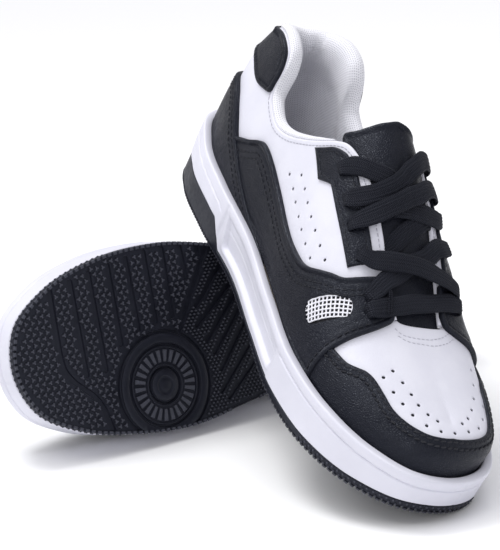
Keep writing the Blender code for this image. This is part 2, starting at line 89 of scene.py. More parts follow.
def running_length(points):
    """The length along a line of points, from 0 at its first."""
    return np.concatenate([[0], np.cumsum(np.linalg.norm(np.diff(points, axis=0), axis=1))])


def sample(at, run, values):
    """Each column of values, known at run, read off at the places at."""
    return np.column_stack([np.interp(at, run, column) for column in values.T])


def natural_spline(points):
    """A smooth function y(x) through (x, y) points, straight at its ends."""
    xs, ys = np.array(points, float).T
    n = len(xs)
    step = np.diff(xs)
    system, right = np.eye(n), np.zeros(n)
    for i in range(1, n - 1):
        system[i, i - 1:i + 2] = step[i - 1], 2 * (step[i - 1] + step[i]), step[i]
        right[i] = 6 * ((ys[i + 1] - ys[i]) / step[i] - (ys[i] - ys[i - 1]) / step[i - 1])
    bend = np.linalg.solve(system, right)

    def value(x):
        x = np.clip(np.asarray(x, float), xs[0], xs[-1])
        i = np.clip(np.searchsorted(xs, x) - 1, 0, n - 2)
        h, a, b = step[i], xs[i + 1] - x, x - xs[i]
        cubic = (bend[i] * a ** 3 + bend[i + 1] * b ** 3) / (6 * h)
        return cubic + (ys[i] / h - bend[i] * h / 6) * a + (ys[i + 1] / h - bend[i + 1] * h / 6) * b

    return value


def closed_loop(points, samples=4320):
    """A smooth closed curve through the points, as a function of the share u of its length."""
    knots = np.array(points, float)
    n = len(knots)
    previous, following = np.roll(knots, 1, 0), np.roll(knots, -1, 0)
    chord = np.linalg.norm(following - knots, axis=1)
    before = np.roll(chord, 1)
    slope = ((knots - previous) / before[:, None] * chord[:, None]
             + (following - knots) / chord[:, None] * before[:, None]) / (chord + before)[:, None]
    fine = []
    for i in range(n):
        j = (i + 1) % n
        for t in np.arange(samples // n) / (samples // n):
            h = (2 * t ** 3 - 3 * t ** 2 + 1, t ** 3 - 2 * t ** 2 + t, 3 * t ** 2 - 2 * t ** 3, t ** 3 - t ** 2)
            fine.append(h[0] * knots[i] + h[1] * chord[i] * slope[i]
                        + h[2] * knots[j] + h[3] * chord[i] * slope[j])
    fine = np.vstack([fine, fine[:1]])
    length = running_length(fine)
    length /= length[-1]

    def point(u):
        u = np.mod(u, 1.0)
        return np.stack([np.interp(u, length, fine[:, 0]), np.interp(u, length, fine[:, 1])], -1)

    return point


outline = closed_loop(OUTLINE)
sole_top = natural_spline(SOLE_TOP)
ridge_height = natural_spline(RIDGE)
fullness = natural_spline(FULLNESS)


def outline_inset(u, inset):
    """Plan places inset mm inside the sole outline."""
    tangent = unit(outline(np.asarray(u) + STEP) - outline(np.asarray(u) - STEP))
    inward = np.stack([-tangent[..., 1], tangent[..., 0]], -1)
    return outline(u) + inward * np.asarray(inset)[..., None]


def sole_bottom(x):
    """The height of the tread's tips over the ground: the toe spring and the heel's bevel."""
    toe = TOE_SPRING * np.clip((x - TOE_SPRING_START) / (SOLE_LENGTH - TOE_SPRING_START), 0, 1) ** 2
    return toe + HEEL_BEVEL * np.clip((HEEL_BEVEL_END - x) / HEEL_BEVEL_END, 0, 1) ** 2


def outsole_top(x):
    wedge = np.clip((HEEL_WEDGE_END + HEEL_WEDGE_RAMP - x) / HEEL_WEDGE_RAMP, 0, 1)
    front = np.clip((x - WAIST_END) / TOE_RAMP, 0, 1)
    waist = OUTSOLE_WAIST + (OUTSOLE_TOE - OUTSOLE_WAIST) * front
    return np.clip(sole_bottom(x), 0, None) * (x > 100) + waist + (OUTSOLE_HEEL - waist) * wedge


def ridge_plan(u):
    along = (1 - np.cos(2 * np.pi * u)) / 2
    return np.stack([RIDGE_HEEL_X + (RIDGE_TOE_X - RIDGE_HEEL_X) * along,
                     RIDGE_Y_HEEL + (RIDGE_Y_TOE - RIDGE_Y_HEEL) * along], -1), along


def eased(value, start, end):
    """Rises smoothly from 0 at start to 1 at end."""
    t = np.clip((value - start) / (end - start), 0, 1)
    return t * t * (3 - 2 * t)


def inner_swell(u, v):
    """How far the inner side of the forefoot bulges out over the sole."""
    u = u % 1.0
    return (INNER_SWELL * eased(u, 0.49, 0.56) * eased(u, 0.75, 0.64)
            * eased(v, 0.05, 0.38) * eased(v, 1.05, 0.50))


def raw_surface(u, v):
    u, v = np.broadcast_arrays(np.asarray(u, float), np.asarray(v, float))
    foot = outline_inset(u, FEATHER_INSET)
    foot_z = sole_top(outline(u)[..., 0]) - FEATHER_DROP
    ridge, along = ridge_plan(u)
    power = 2 / fullness(along)
    angle = np.clip(v, 0, 1) * np.pi / 2
    across, climb = 1 - np.cos(angle) ** power, np.sin(angle) ** power
    plan = foot + (ridge - foot) * across[..., None]
    height = foot_z + (ridge_height(ridge[..., 0]) - foot_z) * climb
    rise = np.clip((height - LEAN_LOW) / (LEAN_HIGH - LEAN_LOW), 0, 1)
    back = np.clip((LEAN_FRONT - plan[..., 0]) / (LEAN_FRONT - LEAN_BACK), 0, 1)
    return np.stack([plan[..., 0] + HEEL_LEAN * rise * rise * (3 - 2 * rise) * back,
                     plan[..., 1] + inner_swell(u, v), height], -1)


def slopes(u, v):
    """How the surface moves with u and with v, in mm."""
    v = np.clip(v, STEP, 1 - STEP)
    along = (raw_surface(u + STEP / 4, v) - raw_surface(u - STEP / 4, v)) / (STEP / 2)
    up = (raw_surface(u, v + STEP) - raw_surface(u, v - STEP)) / (2 * STEP)
    return along, up


def surface_normal(u, v):
    u, v = np.broadcast_arrays(np.asarray(u, float), np.asarray(v, float))
    return unit(np.cross(*slopes(u, v)))


def skin_normal(u, v):
    """The surface's normal, evened out between the two sides near the ridge."""
    u, v = np.broadcast_arrays(np.asarray(u, float), np.asarray(v, float))
    share = np.clip((v - 0.85) / 0.15, 0, 1)[..., None] / 2
    return unit(surface_normal(u, v) * (1 - share) + surface_normal(1 - u, v) * share)


def skin(u, v, depth):
    """A point of the upper, moved outwards by depth mm."""
    return raw_surface(u, v) + skin_normal(u, v) * np.asarray(depth, float)[..., None]


def flat_map(u, v):
    """The whole upper spread out in one plane, where every panel is cut."""
    ridge, _ = ridge_plan(u)
    return ridge + (outline(u) - ridge) * (1 - v)[..., None] * FLAT_STRETCH


# ---------------------------------------------------------------- a growing mesh

class Shell:
    """Points and faces in the shoe's own millimetres, each point with its texture coordinates in mm."""

    def __init__(self):
        self.points, self.flat, self.faces, self.count = [], [], [], 0

    def add(self, points, faces, flat=None):
        points = np.asarray(points, float).reshape(-1, 3)
        self.points.append(points)
        self.flat.append(points if flat is None else np.asarray(flat, float).reshape(-1, 3))
        for group in faces:
            group = np.asarray(group, int)
            if group.size:
                self.faces.append(group.reshape(-1, group.shape[-1]) + self.count)
        self.count += len(points)
        return self

    def scatter(self, points, faces, origins, axes):
        """Copies of one small mesh: its x, y and z run along the rows of axes at each origin."""
        points = np.asarray(points, float)
        many = origins[:, None] + np.einsum("pk,nkj->npj", points, axes)
        offset = np.arange(len(origins))[:, None, None] * len(points)
        spread = [(np.asarray(g, int)[None] + offset).reshape(-1, np.asarray(g).shape[-1]) for g in faces]
        return self.add(many, spread)


def grid_faces(rows, columns, wrap=False):
    """Quads over rows of points, closed round each row if wrap is true."""
    a = (np.arange(rows - 1)[:, None] * columns + np.arange(columns if wrap else columns - 1)[None])
    b = np.arange(rows - 1)[:, None] * columns + (np.arange(a.shape[1]) + 1)[None] % columns
    return np.stack([a, b, b + columns, a + columns], -1).reshape(-1, 4)


def loft(shell, grid, flat=None, caps=True):
    """A closed tube through rings, given as an array of rings by points by 3."""
    rings, around = grid.shape[:2]
    faces = [grid_faces(rings, around, wrap=True)]
    if caps:
        faces += [np.arange(around)[None, ::-1], (np.arange(around) + (rings - 1) * around)[None]]
    return shell.add(grid, faces, flat)


def stack(shell, rings):
    """A closed body through rings of the outline, with a ladder of faces across the first and last."""
    rings = np.array(rings)
    count = rings.shape[1]
    faces = [grid_faces(len(rings), count, wrap=True)]
    ladder = []
    for i in range(count // 2):
        a, b, c, d = (k % count for k in (i, i + 1, count - i - 1, count - i))
        ladder += [f for f in ((a, b, c), (a, c, d)) if len(set(f)) == 3]
    ladder = np.array(ladder)
    return shell.add(rings, faces + [ladder[:, ::-1], ladder + (len(rings) - 1) * count])


def ring(inset, height, count):
    """Points round the sole, inset mm inside its outline, at the height that height(x) gives."""
    u = np.arange(count) / count
    return np.column_stack([outline_inset(u, inset), height(outline(u)[:, 0])])


def raised(height, lift):
    """The height, as a function of x, moved up by lift mm."""
    return lambda x: height(x) + lift


def place_pieces(shell, name, look, body="shoe", replaced=(), angle=50):
    """Makes one piece on each shoe from the same mesh, mirrored on the left one."""
    points, flat = np.vstack(shell.points), np.vstack(shell.flat)
    for side, setting in SHOES.items():
        mirror = setting["mirror"]
        turn = np.array(Euler([math.radians(a) for a in setting["turn"]], "XYZ").to_matrix())
        world = ((points * (1, mirror, 1)) @ turn.T + np.array(setting["place"])) * MM
        faces = [f for group in shell.faces for f in group[:, ::mirror].tolist()]
        mesh = bpy.data.meshes.new(side + "_" + name)
        mesh.from_pydata(world.tolist(), [], faces)
        mesh.attributes.new("surface", "FLOAT_VECTOR", "POINT").data.foreach_set("vector", flat.ravel())
        mesh.materials.append(SHADERS[look])
        mesh.shade_smooth()
        mesh.set_sharp_from_angle(angle=math.radians(angle))
        piece = bpy.data.objects.new(f"{side}_{name}_piece", mesh)
        bpy.context.scene.collection.objects.link(piece)
        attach(piece, f"{side}_{body}")
        if replaced:
            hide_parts(*(f"{side}_{node}" for node in replaced))


# ---------------------------------------------------------------- lines on the upper

def unfold(folded):
    """Folded (u, c) places as (u, v)."""
    u, c = folded[..., 0], folded[..., 1]
    return np.stack([np.where(c <= 0, u, 1 - u), 1 - np.abs(c)], -1)


def smooth_line(knots, steps=14):
    """A smooth line through the knots, which doesn't swing past them."""
    knots = np.array(knots, float)
    if len(knots) == 2:
        return knots[0] + (knots[1] - knots[0]) * np.linspace(0, 1, steps + 1)[:, None]
    scale = np.array([ROUND, CLIMB, 1][:knots.shape[1]]) if np.abs(knots).max() < 5 else 1.0
    p = knots * scale
    p = np.vstack([2 * p[0] - p[1], p, 2 * p[-1] - p[-2]])
    gap = np.maximum(np.linalg.norm(np.diff(p, axis=0), axis=1), 1e-6) ** 0.5
    out = []
    for i in range(1, len(p) - 2):
        d0, d1, d2 = gap[i - 1], gap[i], gap[i + 1]
        m1 = (p[i] - p[i - 1]) / d0 - (p[i + 1] - p[i - 1]) / (d0 + d1) + (p[i + 1] - p[i]) / d1
        m2 = (p[i + 1] - p[i]) / d1 - (p[i + 2] - p[i]) / (d1 + d2) + (p[i + 2] - p[i + 1]) / d2
        for t in np.arange(steps) / steps:
            out.append((2 * t ** 3 - 3 * t ** 2 + 1) * p[i] + (t ** 3 - 2 * t ** 2 + t) * d1 * m1
                       + (3 * t ** 2 - 2 * t ** 3) * p[i + 1] + (t ** 3 - t ** 2) * d1 * m2)
    out.append(p[-2])
    return np.array(out) / scale


def line(knots, folded=False, spacing=1.1):
    """(u, v) places about spacing mm apart on a smooth line through the knots."""
    fine = smooth_line(knots)
    place = unfold(fine) if folded else fine
    run = running_length(raw_surface(*place.T))
    fine = sample(np.linspace(0, run[-1], max(2, round(run[-1] / spacing) + 1)), run, fine)
    return unfold(fine) if folded else fine


def shifted(place, distance, closed=True):
    """Places moved by distance mm to the left of the line of travel, as seen from outside the shoe."""
    spots = raw_surface(*place.T)
    if closed:
        travel = np.roll(spots, -1, 0) - np.roll(spots, 1, 0)
    else:
        travel = np.gradient(spots, axis=0)
    travel /= np.maximum(np.linalg.norm(travel, axis=1, keepdims=True), 1e-9)
    along, up = slopes(*place.T)
    left = np.cross(surface_normal(*place.T), travel) * distance
    aa, bb, ab = (along * along).sum(1), (up * up).sum(1), (along * up).sum(1)
    la, lb = (left * along).sum(1), (left * up).sum(1)
    wide = np.maximum(aa * bb - ab * ab, 1e-6)
    moved = place + np.column_stack([(la * bb - lb * ab) / wide, (lb * aa - la * ab) / wide])
    over = moved[:, 1] > 1
    moved[over] = np.column_stack([1 - moved[over, 0], 2 - moved[over, 1]])
    return moved


def inside(points, loop):
    """Whether each plane point is inside the closed loop."""
    x, y = points[:, 0][:, None], points[:, 1][:, None]
    ax, ay = loop[:, 0][None], loop[:, 1][None]
    bx, by = np.roll(loop[:, 0], -1)[None], np.roll(loop[:, 1], -1)[None]
    crosses = (ay > y) != (by > y)
    with np.errstate(divide="ignore", invalid="ignore"):
        left = x < (bx - ax) * (y - ay) / (by - ay) + ax
    return (crosses & left).sum(1) % 2 == 1


def nearest(points, others):
    """How far each point is from the nearest of the others, worked out 2000 at a time to save memory."""
    best = np.full(len(points), 1e9)
    for start in range(0, len(points), 2000):
        part = points[start:start + 2000]
        best[start:start + 2000] = np.sqrt(((part[:, None] - others[None]) ** 2).sum(2).min(1))
    return best


def surface_cloud(pitch=3.2, rows=40):
    """Places spread evenly over the whole upper, to fill the panels with."""
    found = []
    for v in (np.arange(rows) + 0.5) / rows:
        around = np.linalg.norm(slopes(np.linspace(0, 1, 50), np.full(50, v))[0], axis=1).mean()
        count = int(around / pitch)
        along = (np.arange(count) + 0.5 * (round(v * rows) % 2)) / count
        found.append(np.column_stack([along, np.full(count, v)]))
    found.append(np.column_stack([np.linspace(0.02, 0.48, 76), np.ones(76)]))
    return np.vstack(found)


CLOUD = surface_cloud()
CLOUD_SPOTS, CLOUD_PLANE = raw_surface(*CLOUD.T), flat_map(*CLOUD.T)
SHORTEST = 0.15                  # the shortest step kept along a panel's boundary, in mm
HOLE_RINGS = (0.35, 1.0)         # rings of points round each hole, in mm from its edge


def dot(place, radius, sides=10):
    """A round loop of places about one place."""
    place = np.array([place], float)
    along, up = slopes(*place.T)
    along_length, up_length = np.linalg.norm(along), np.linalg.norm(up)
    skew = float((along * up).sum() / (along_length * up_length))
    angle = 2 * np.pi * np.arange(sides) / sides
    a, b = np.cos(angle) * radius, np.sin(angle) * radius
    b = b / math.sqrt(1 - skew ** 2)
    return place + np.column_stack([(a - b * skew) / along_length, b / up_length])


def flat_area(places):
    """Twice the area inside a closed loop in the plane map, plus where the loop runs anticlockwise."""
    x, y = flat_map(*places.T).T
    return (x * np.roll(y, -1) - y * np.roll(x, -1)).sum()


def triangles(loops, others, tolerance):
    """Plane triangles that keep the edges of the closed loops: points, faces and each point's input index."""
    edges, start = [], 0
    for loop in loops:
        n = len(loop)
        edges += [(start + i, start + (i + 1) % n) for i in range(n)]
        start += n
    corners = [Vector(point) for point in np.vstack(loops + others).tolist()]
    points, _, faces, origins, _, _ = delaunay_2d_cdt(corners, edges, [], 0, tolerance, True)
    faces = np.array([f for f in faces if len(f) == 3])
    return np.array([tuple(p) for p in points]), faces, np.array([o[0] if o else -1 for o in origins])


def triangulate(loops, extra, fringe):
    """Triangles between the first closed loop and the others, which are holes, by input index."""
    plane, faces, origin = triangles(loops, [extra, fringe], 1e-5)
    centre = plane[faces].mean(1)
    keep = inside(centre, loops[0])
    for hole in loops[1:]:
        keep &= ~inside(centre, hole)
    faces = origin[faces[keep]]
    return faces[(faces >= 0).all(1)]


def panel(boundary, top, bottom, holes=(), rings=(0.25, 0.7, 1.3, 2.2, 3.4), relief=None, edge=0.45, shell=None):
    """A closed sheet of the upper cut to a (u, v) boundary, with round-edged holes and a relief.

    relief(distance) is what the face rises by, given each point's distance from the boundary in mm.
    """
    boundary = np.asarray(boundary, float)
    gap = np.linalg.norm(raw_surface(*boundary.T) - raw_surface(*np.roll(boundary, -1, 0).T), axis=1)
    boundary = boundary[gap > SHORTEST]
    if flat_area(boundary) < 0:
        boundary = boundary[::-1]
    loops = [boundary] + [np.asarray(h, float) for h in holes]
    rim = raw_surface(*boundary.T)
    hole_rim = np.vstack([raw_surface(*h.T) for h in loops[1:]]) if holes else np.full((1, 3), 1e6)
    fringe = []
    for distance in rings:
        near = shifted(boundary, distance)
        spots = raw_surface(*near.T)
        good = (nearest(spots, rim) > distance * 0.9) & (nearest(spots, hole_rim) > 0.6)
        fringe.append(near[good & inside(flat_map(*near.T), flat_map(*boundary.T))])
    for hole in loops[1:]:
        for distance in HOLE_RINGS:
            near = shifted(hole, -distance)
            near = near[nearest(raw_surface(*near.T), rim) > 0.8]
            fringe.append(near[inside(flat_map(*near.T), flat_map(*boundary.T))])
    fringe = np.vstack(fringe) if fringe else np.zeros((0, 2))
    plane = flat_map(*boundary.T)
    near = ((CLOUD_PLANE > plane.min(0)) & (CLOUD_PLANE < plane.max(0))).all(1)
    cloud, spots = CLOUD[near], CLOUD_SPOTS[near]
    clear = max(rings) + 1.4
    good = inside(flat_map(*cloud.T), plane) & (nearest(spots, rim) > clear) & (nearest(spots, hole_rim) > 2.2)
    places = np.vstack(loops + [cloud[good], fringe])
    faces = triangulate([flat_map(*loop.T) for loop in loops], flat_map(*cloud[good].T), flat_map(*fringe.T))
    spots = raw_surface(*places.T)
    distance = nearest(spots, rim)
    distance[:len(boundary)] = 0
    rise = -edge * (1 - np.sqrt(1 - (1 - np.clip(distance / (edge * 2.2), 0, 1)) ** 2))
    if holes:
        gone = nearest(spots, hole_rim)
        rise -= 0.5 * edge * np.clip(1 - gone / 0.9, 0, 1) ** 2
    if relief is not None:
        rise = rise + relief(distance)
    count = len(places)
    upper, lower = skin(*places.T, top + rise), skin(*places.T, bottom)
    walls, start = [], 0
    for loop in loops:
        a = start + np.arange(len(loop))
        b = start + (np.arange(len(loop)) + 1) % len(loop)
        walls.append(np.stack([b, a, a + count, b + count], -1))
        start += len(loop)
    walls = np.vstack(walls)
    # The hole loops run the same way round as the boundary, so their walls face the other way.
    walls[len(boundary):] = walls[len(boundary):, ::-1]
    shell = shell or Shell()
    return shell.add(np.vstack([upper, lower]), [faces, faces[:, ::-1] + count, walls])


# ---------------------------------------------------------------- stitches

def capsule(length, radius, sides=6):
    """A rounded stick along x, for one stitch."""
    stations = np.array([(-1, 0.25), (-0.82, 0.8), (-0.4, 1), (0.4, 1), (0.82, 0.8), (1, 0.25)])
    angle = 2 * np.pi * np.arange(sides) / sides
    points = [(s * length / 2, r * radius * math.cos(a), r * radius * math.sin(a))
              for s, r in stations for a in angle]
    faces = [grid_faces(len(stations), sides, wrap=True)[:, ::-1], np.arange(sides)[None],
             (np.arange(sides) + (len(stations) - 1) * sides)[None, ::-1]]
    return np.array(points), faces


def stitch(shell, places, depth, pitch=3.0, length=2.2, radius=0.3, slant=0.0):
    """A row of stitches along open (u, v) places at a depth."""
    spots = skin(*places.T, depth)
    run = running_length(spots)
    if run[-1] < 2 * pitch:
        return
    count = int(run[-1] / pitch)
    at = (np.arange(count) + 0.5) * run[-1] / count
    reach = 0.6                      # a stitch's direction is read off this far on both sides of it
    ahead, behind = np.minimum(at + reach, run[-1]), np.maximum(at - reach, 0)
    row = np.interp(at, run, np.arange(len(places))).astype(int)
    normal = skin_normal(*places[row].T)
    side = unit(np.cross(normal, sample(ahead, run, spots) - sample(behind, run, spots)))
    turned = unit(np.cross(side, normal) * math.cos(slant) + side * math.sin(slant))
    points, faces = capsule(length, radius)
    shell.scatter(points, faces, sample(at, run, spots), np.stack([turned, np.cross(normal, turned), normal], 1))


# ---------------------------------------------------------------- materials

class Maker:
    """Short names for building one node material."""

    def __init__(self, name, colour, roughness, **sockets):
        self.material = bpy.data.materials.new(name)
        self.material.use_nodes = True
        self.tree = self.material.node_tree
        self.shader = self.tree.nodes["Principled BSDF"]
        self.shader.inputs["Base Color"].default_value = (*colour, 1)
        self.shader.inputs["Roughness"].default_value = roughness
        for key, value in sockets.items():
            self.shader.inputs[key.replace("_", " ")].default_value = value
        place = self.node("ShaderNodeAttribute", attribute_name="surface")
        self.place = place.outputs["Vector"]

    def node(self, kind, inputs=(), **settings):
        node = self.tree.nodes.new(kind)
        for key, value in settings.items():
            setattr(node, key, value)
        for key, value in dict(inputs).items():
            if isinstance(value, bpy.types.NodeSocket):
                self.tree.links.new(value, node.inputs[key])
            else:
                node.inputs[key].default_value = value
        return node

    def math(self, operation, a, b=0.0, c=0.0):
        return self.node("ShaderNodeMath", {0: a, 1: b, 2: c}, operation=operation).outputs[0]

    def vector(self, operation, a, b=(0, 0, 0)):
        return self.node("ShaderNodeVectorMath", {0: a, 1: b}, operation=operation).outputs[0]

    def noise(self, scale, detail):
        return self.node("ShaderNodeTexNoise", {"Vector": self.place, "Scale": scale, "Detail": detail,
                                                "Roughness": 0.5}).outputs["Fac"]

    def cell_edges(self, scale, place):
        """How far a place is from the nearest edge between cells."""
        return self.node("ShaderNodeTexVoronoi", {"Vector": place, "Scale": scale, "Randomness": 1.0},
                         feature="DISTANCE_TO_EDGE").outputs["Distance"]

    def ramp(self, value, low, high, a=0.0, b=1.0):
        limits = {"Value": value, "From Min": low, "From Max": high, "To Min": a, "To Max": b}
        return self.node("ShaderNodeMapRange", limits, interpolation_type="SMOOTHSTEP").outputs[0]

    def mix(self, factor, a, b):
        node = self.node("ShaderNodeMix", data_type="RGBA")
        for socket, value in zip((node.inputs[0], node.inputs[6], node.inputs[7]), (factor, a, b)):
            if isinstance(value, bpy.types.NodeSocket):
                self.tree.links.new(value, socket)
            else:
                socket.default_value = value if isinstance(value, float) else (*value, 1)
        return node.outputs[2]

    def paint(self, colour):
        self.tree.links.new(colour, self.shader.inputs["Base Color"])

    def rough(self, value):
        self.tree.links.new(value, self.shader.inputs["Roughness"])

    def bump(self, height, distance_mm):
        normal = self.node("ShaderNodeBump", {"Height": height, "Distance": distance_mm * MM, "Strength": 1.0})
        self.tree.links.new(normal.outputs[0], self.shader.inputs["Normal"])


BLACK_TINT = (0.80, 0.86, 1.0, 1)
TIP_HIGHLIGHT_MARK = 100.0        # texture heights above this mark, in mm, say how much painted highlight a stud's tip gets, from 0 to 1


def leather(name, colour, deep, roughness, grain, grain_depth, spread, shine=0.32, tint=(1, 1, 1, 1)):
    """Coated leather: fine creased cells with painted shade in the creases, a little mottling and soft folds."""
    m = Maker(name, colour, roughness, Specular_IOR_Level=shine, Specular_Tint=tint)
    warp = m.node("ShaderNodeTexNoise", {"Vector": m.place, "Scale": 0.5, "Detail": 1.0})
    moved = m.vector("ADD", m.place, m.vector("MULTIPLY", warp.outputs["Color"], (1.2, 1.2, 1.2)))
    crease = m.ramp(m.cell_edges(grain, moved), 0.0, 0.22)
    pores = m.noise(grain * 2.2, 3.0)
    mottle = m.noise(0.06, 3.0)
    # Painted shade: the creases between the grain's cells are painted darker; the mottling is random tone.
    m.paint(m.mix(m.math("MULTIPLY", m.ramp(mottle, 0.35, 0.7), m.ramp(crease, 0.0, 1.0, 0.75, 1.0)), deep, colour))
    m.rough(m.ramp(m.math("ADD", m.noise(0.35, 3.0), m.math("MULTIPLY", crease, -0.15)), 0.2, 0.7,
                   roughness - spread, roughness + spread))
    height = m.math("ADD", crease, m.math("MULTIPLY", pores, 0.5))
    m.bump(height, grain_depth)
    return m.material


def moulded(name, colour, deep, roughness, depth=0.05, tip_highlight=None, shine=0.35, tint=(1, 1, 1, 1)):
    """Moulded rubber or foam: satin, with a faint matt texture, slight clouding and a painted highlight that makes
    studs paler towards their tips.
    """
    m = Maker(name, colour, roughness, Specular_IOR_Level=shine, Specular_Tint=tint)
    paint = m.mix(m.ramp(m.noise(0.05, 3.0), 0.3, 0.7), deep, colour)
    if tip_highlight is not None:
        height = m.node("ShaderNodeSeparateXYZ", {0: m.place}).outputs[2]
        # Painted highlight: the studs are painted paler towards their tips.
        paint = m.mix(m.ramp(height, TIP_HIGHLIGHT_MARK, TIP_HIGHLIGHT_MARK + 1.0), paint, tip_highlight)
    m.paint(paint)
    m.rough(m.ramp(m.noise(0.4, 3.0), 0.25, 0.75, roughness - 0.06, roughness + 0.08))
    m.bump(m.math("ADD", m.noise(2.6, 3.0), m.math("MULTIPLY", m.noise(0.25, 1.0), 1.6)), depth)
    return m.material


def textile(name, colour, deep, pitch, depth):
    """Honeycomb mesh cloth: rows of round pits, each row half a pitch along from the last, the pits painted dark as
    painted shade.
    """
    m = Maker(name, colour, 0.9, Specular_IOR_Level=0.2, Sheen_Weight=0.3)
    split = m.node("ShaderNodeSeparateXYZ", {0: m.place}).outputs
    row = m.math("DIVIDE", split[1], pitch * 0.87)
    shift = m.math("MULTIPLY", m.math("MODULO", m.math("ABSOLUTE", m.math("FLOOR", row)), 2.0), 0.5)
    column = m.math("ADD", m.math("DIVIDE", split[0], pitch), shift)
    dx = m.math("SUBTRACT", m.math("FRACT", column), 0.5)
    dy = m.math("SUBTRACT", m.math("FRACT", row), 0.5)
    away = m.math("SQRT", m.math("ADD", m.math("MULTIPLY", dx, dx), m.math("MULTIPLY", dy, dy)))
    solid = m.ramp(away, 0.12, 0.42)
    fuzz = m.noise(5.0, 3.0)
    # Painted shade: the pits take the deep colour; the fuzz varies the tone at random.
    m.paint(m.mix(m.math("MULTIPLY", solid, m.ramp(fuzz, 0.2, 0.7, 0.8, 1.0)), deep, colour))
    m.bump(m.math("ADD", solid, m.math("MULTIPLY", fuzz, 0.35)), depth)
    return m.material


def braid(name, colour, bright):
    """Flat woven lace: v-shaped plaits across it, their raised crests painted bright as a painted highlight."""
    m = Maker(name, colour, 0.62, Specular_IOR_Level=0.2, Specular_Tint=BLACK_TINT)
    split = m.node("ShaderNodeSeparateXYZ", {0: m.place}).outputs
    zig = m.math("PINGPONG", split[1], 0.7)
    plait = m.math("SINE", m.math("MULTIPLY", m.math("ADD", split[0], m.math("MULTIPLY", zig, 0.9)), 6.6))
    ribs = m.math("SINE", m.math("MULTIPLY", split[1], 2 * math.pi / 1.4))
    weave = m.math("ADD", m.math("MULTIPLY", plait, 0.7), m.math("MULTIPLY", ribs, 0.3))
    # Painted highlight: where the weave stands up it is painted towards the bright colour, with painted shade in
    # the dips.
    m.paint(m.mix(m.ramp(m.math("ADD", weave, m.noise(2.0, 2.0)), 0.0, 1.4), colour, bright))
    m.bump(weave, 0.30)
    return m.material


def thread(name, colour):
    """Sewing thread: fine bands round each stitch."""
    m = Maker(name, colour, 0.6, Specular_IOR_Level=0.4)
    m.bump(m.node("ShaderNodeTexWave", {"Vector": m.place, "Scale": 2.4, "Distortion": 1.0}).outputs["Fac"], 0.06)
    return m.material


def shaders():
    white, black = (0.70, 0.70, 0.775), (0.0040, 0.0044, 0.0092)
    return {
        "white_leather": leather("white_leather", white, (0.66, 0.66, 0.74), 0.46, 1.15, 0.035, 0.06),
        "black_leather": leather("black_leather", black, (0.0030, 0.0033, 0.0072), 0.36, 0.95, 0.10, 0.08,
                                 0.30, BLACK_TINT),
        "white_sole": moulded("white_sole", (0.67, 0.67, 0.75), (0.64, 0.64, 0.72), 0.42, 0.03),
        # The third colour is the painted highlight on the studs' tips.
        "black_rubber": moulded("black_rubber", (0.0112, 0.0118, 0.0185), (0.0086, 0.0092, 0.0150), 0.42, 0.05,
                                (0.055, 0.057, 0.073), 0.28, BLACK_TINT),
        "white_lining": textile("white_lining", (0.90, 0.90, 0.93), (0.58, 0.58, 0.64), 1.45, 0.20),
        "white_pad": textile("white_pad", (0.84, 0.84, 0.89), (0.55, 0.55, 0.61), 1.35, 0.18),
        "white_net": moulded("white_net", (0.80, 0.80, 0.86), (0.74, 0.74, 0.80), 0.45, 0.04),
        "black_lace": braid("black_lace", (0.0030, 0.0033, 0.0070), (0.026, 0.0275, 0.038)),
        "black_thread": thread("black_thread", (0.0105, 0.0115, 0.0185)),
        "white_thread": thread("white_thread", (0.50, 0.50, 0.57)),
        "fibre": moulded("fibre_board", (0.52, 0.46, 0.37), (0.42, 0.37, 0.30), 0.85, 0.1),
        # The dark material is painted shade in the punched holes and under the eyelets, and the sheet under the
        # vent net.
        "dark": moulded("dark_backing_and_hole_shade", (0.010, 0.010, 0.014), (0.007, 0.007, 0.010), 0.8, 0.05),
    }


SHADERS = shaders()

# ---------------------------------------------------------------- edges of the panels, as (u, v)

BASE_TOP, BASE_BOTTOM = 0.0, -1.4
CAP_TOP, OVERLAY_TOP_DEPTH, FOXING_DEPTH, TAB_DEPTH, UNDERSIDE = 1.3, 2.0, 2.9, 1.5, 0.05
PANEL_FOOT = 0.03
TOPLINE = ((0.0008, 0.385), (0.030, 0.400), (0.050, 0.425), (0.067, 0.446), (0.085, 0.450), (0.100, 0.438),
           (0.108, 0.414), (0.1135, 0.384), (0.1175, 0.338), (0.122, 0.308), (0.132, 0.290), (0.147, 0.280),
           (0.164, 0.302), (0.184, 0.361), (0.200, 0.430), (0.2144, 0.514), (0.2256, 0.580), (0.238, 0.635))
FACING = ((0.238, 0.635), (0.258, 0.708), (0.288, 0.785), (0.307, 0.817), (0.3468, 0.862))
OVERLAY_EDGE = ((0.100, 0.100), (0.106, 0.126), (0.126, 0.170), (0.139, 0.203), (0.146, 0.216), (0.155, 0.219),
                (0.168, 0.213), (0.193, 0.195), (0.219, 0.187), (0.240, 0.195), (0.256, 0.214), (0.270, 0.240),
                (0.281, 0.285), (0.293, 0.365), (0.302, 0.440), (0.310, 0.516), (0.3144, 0.612),
                (0.3175, 0.721), (0.3195, 0.800))
OVERLAY_FRONT = ((0.3415, 0.849), (0.3485, 0.828), (0.352, 0.760), (0.354, 0.66), (0.3545, 0.47), (0.3545, 0.30),
                 (0.356, 0.12), (0.358, PANEL_FOOT))
FOXING_EDGE = ((0, 0.170), (0.030, 0.184), (0.0533, 0.199), (0.072, 0.194), (0.090, 0.173), (0.112, 0.128),
               (0.1344, 0.095), (0.163, 0.058), (0.180, 0.042), (0.205, 0.033), (0.222, 0.028))
TOE_CAP_EDGE = ((0.345, 0.290), (0.356, 0.350), (0.364, 0.377), (0.371, 0.403), (0.379, 0.465), (0.386, 0.520),
                (0.395, 0.545), (0.411, 0.543), (0.426, 0.526), (0.442, 0.537), (0.461, 0.583), (0.482, 0.652),
                (0.5, 0.690))
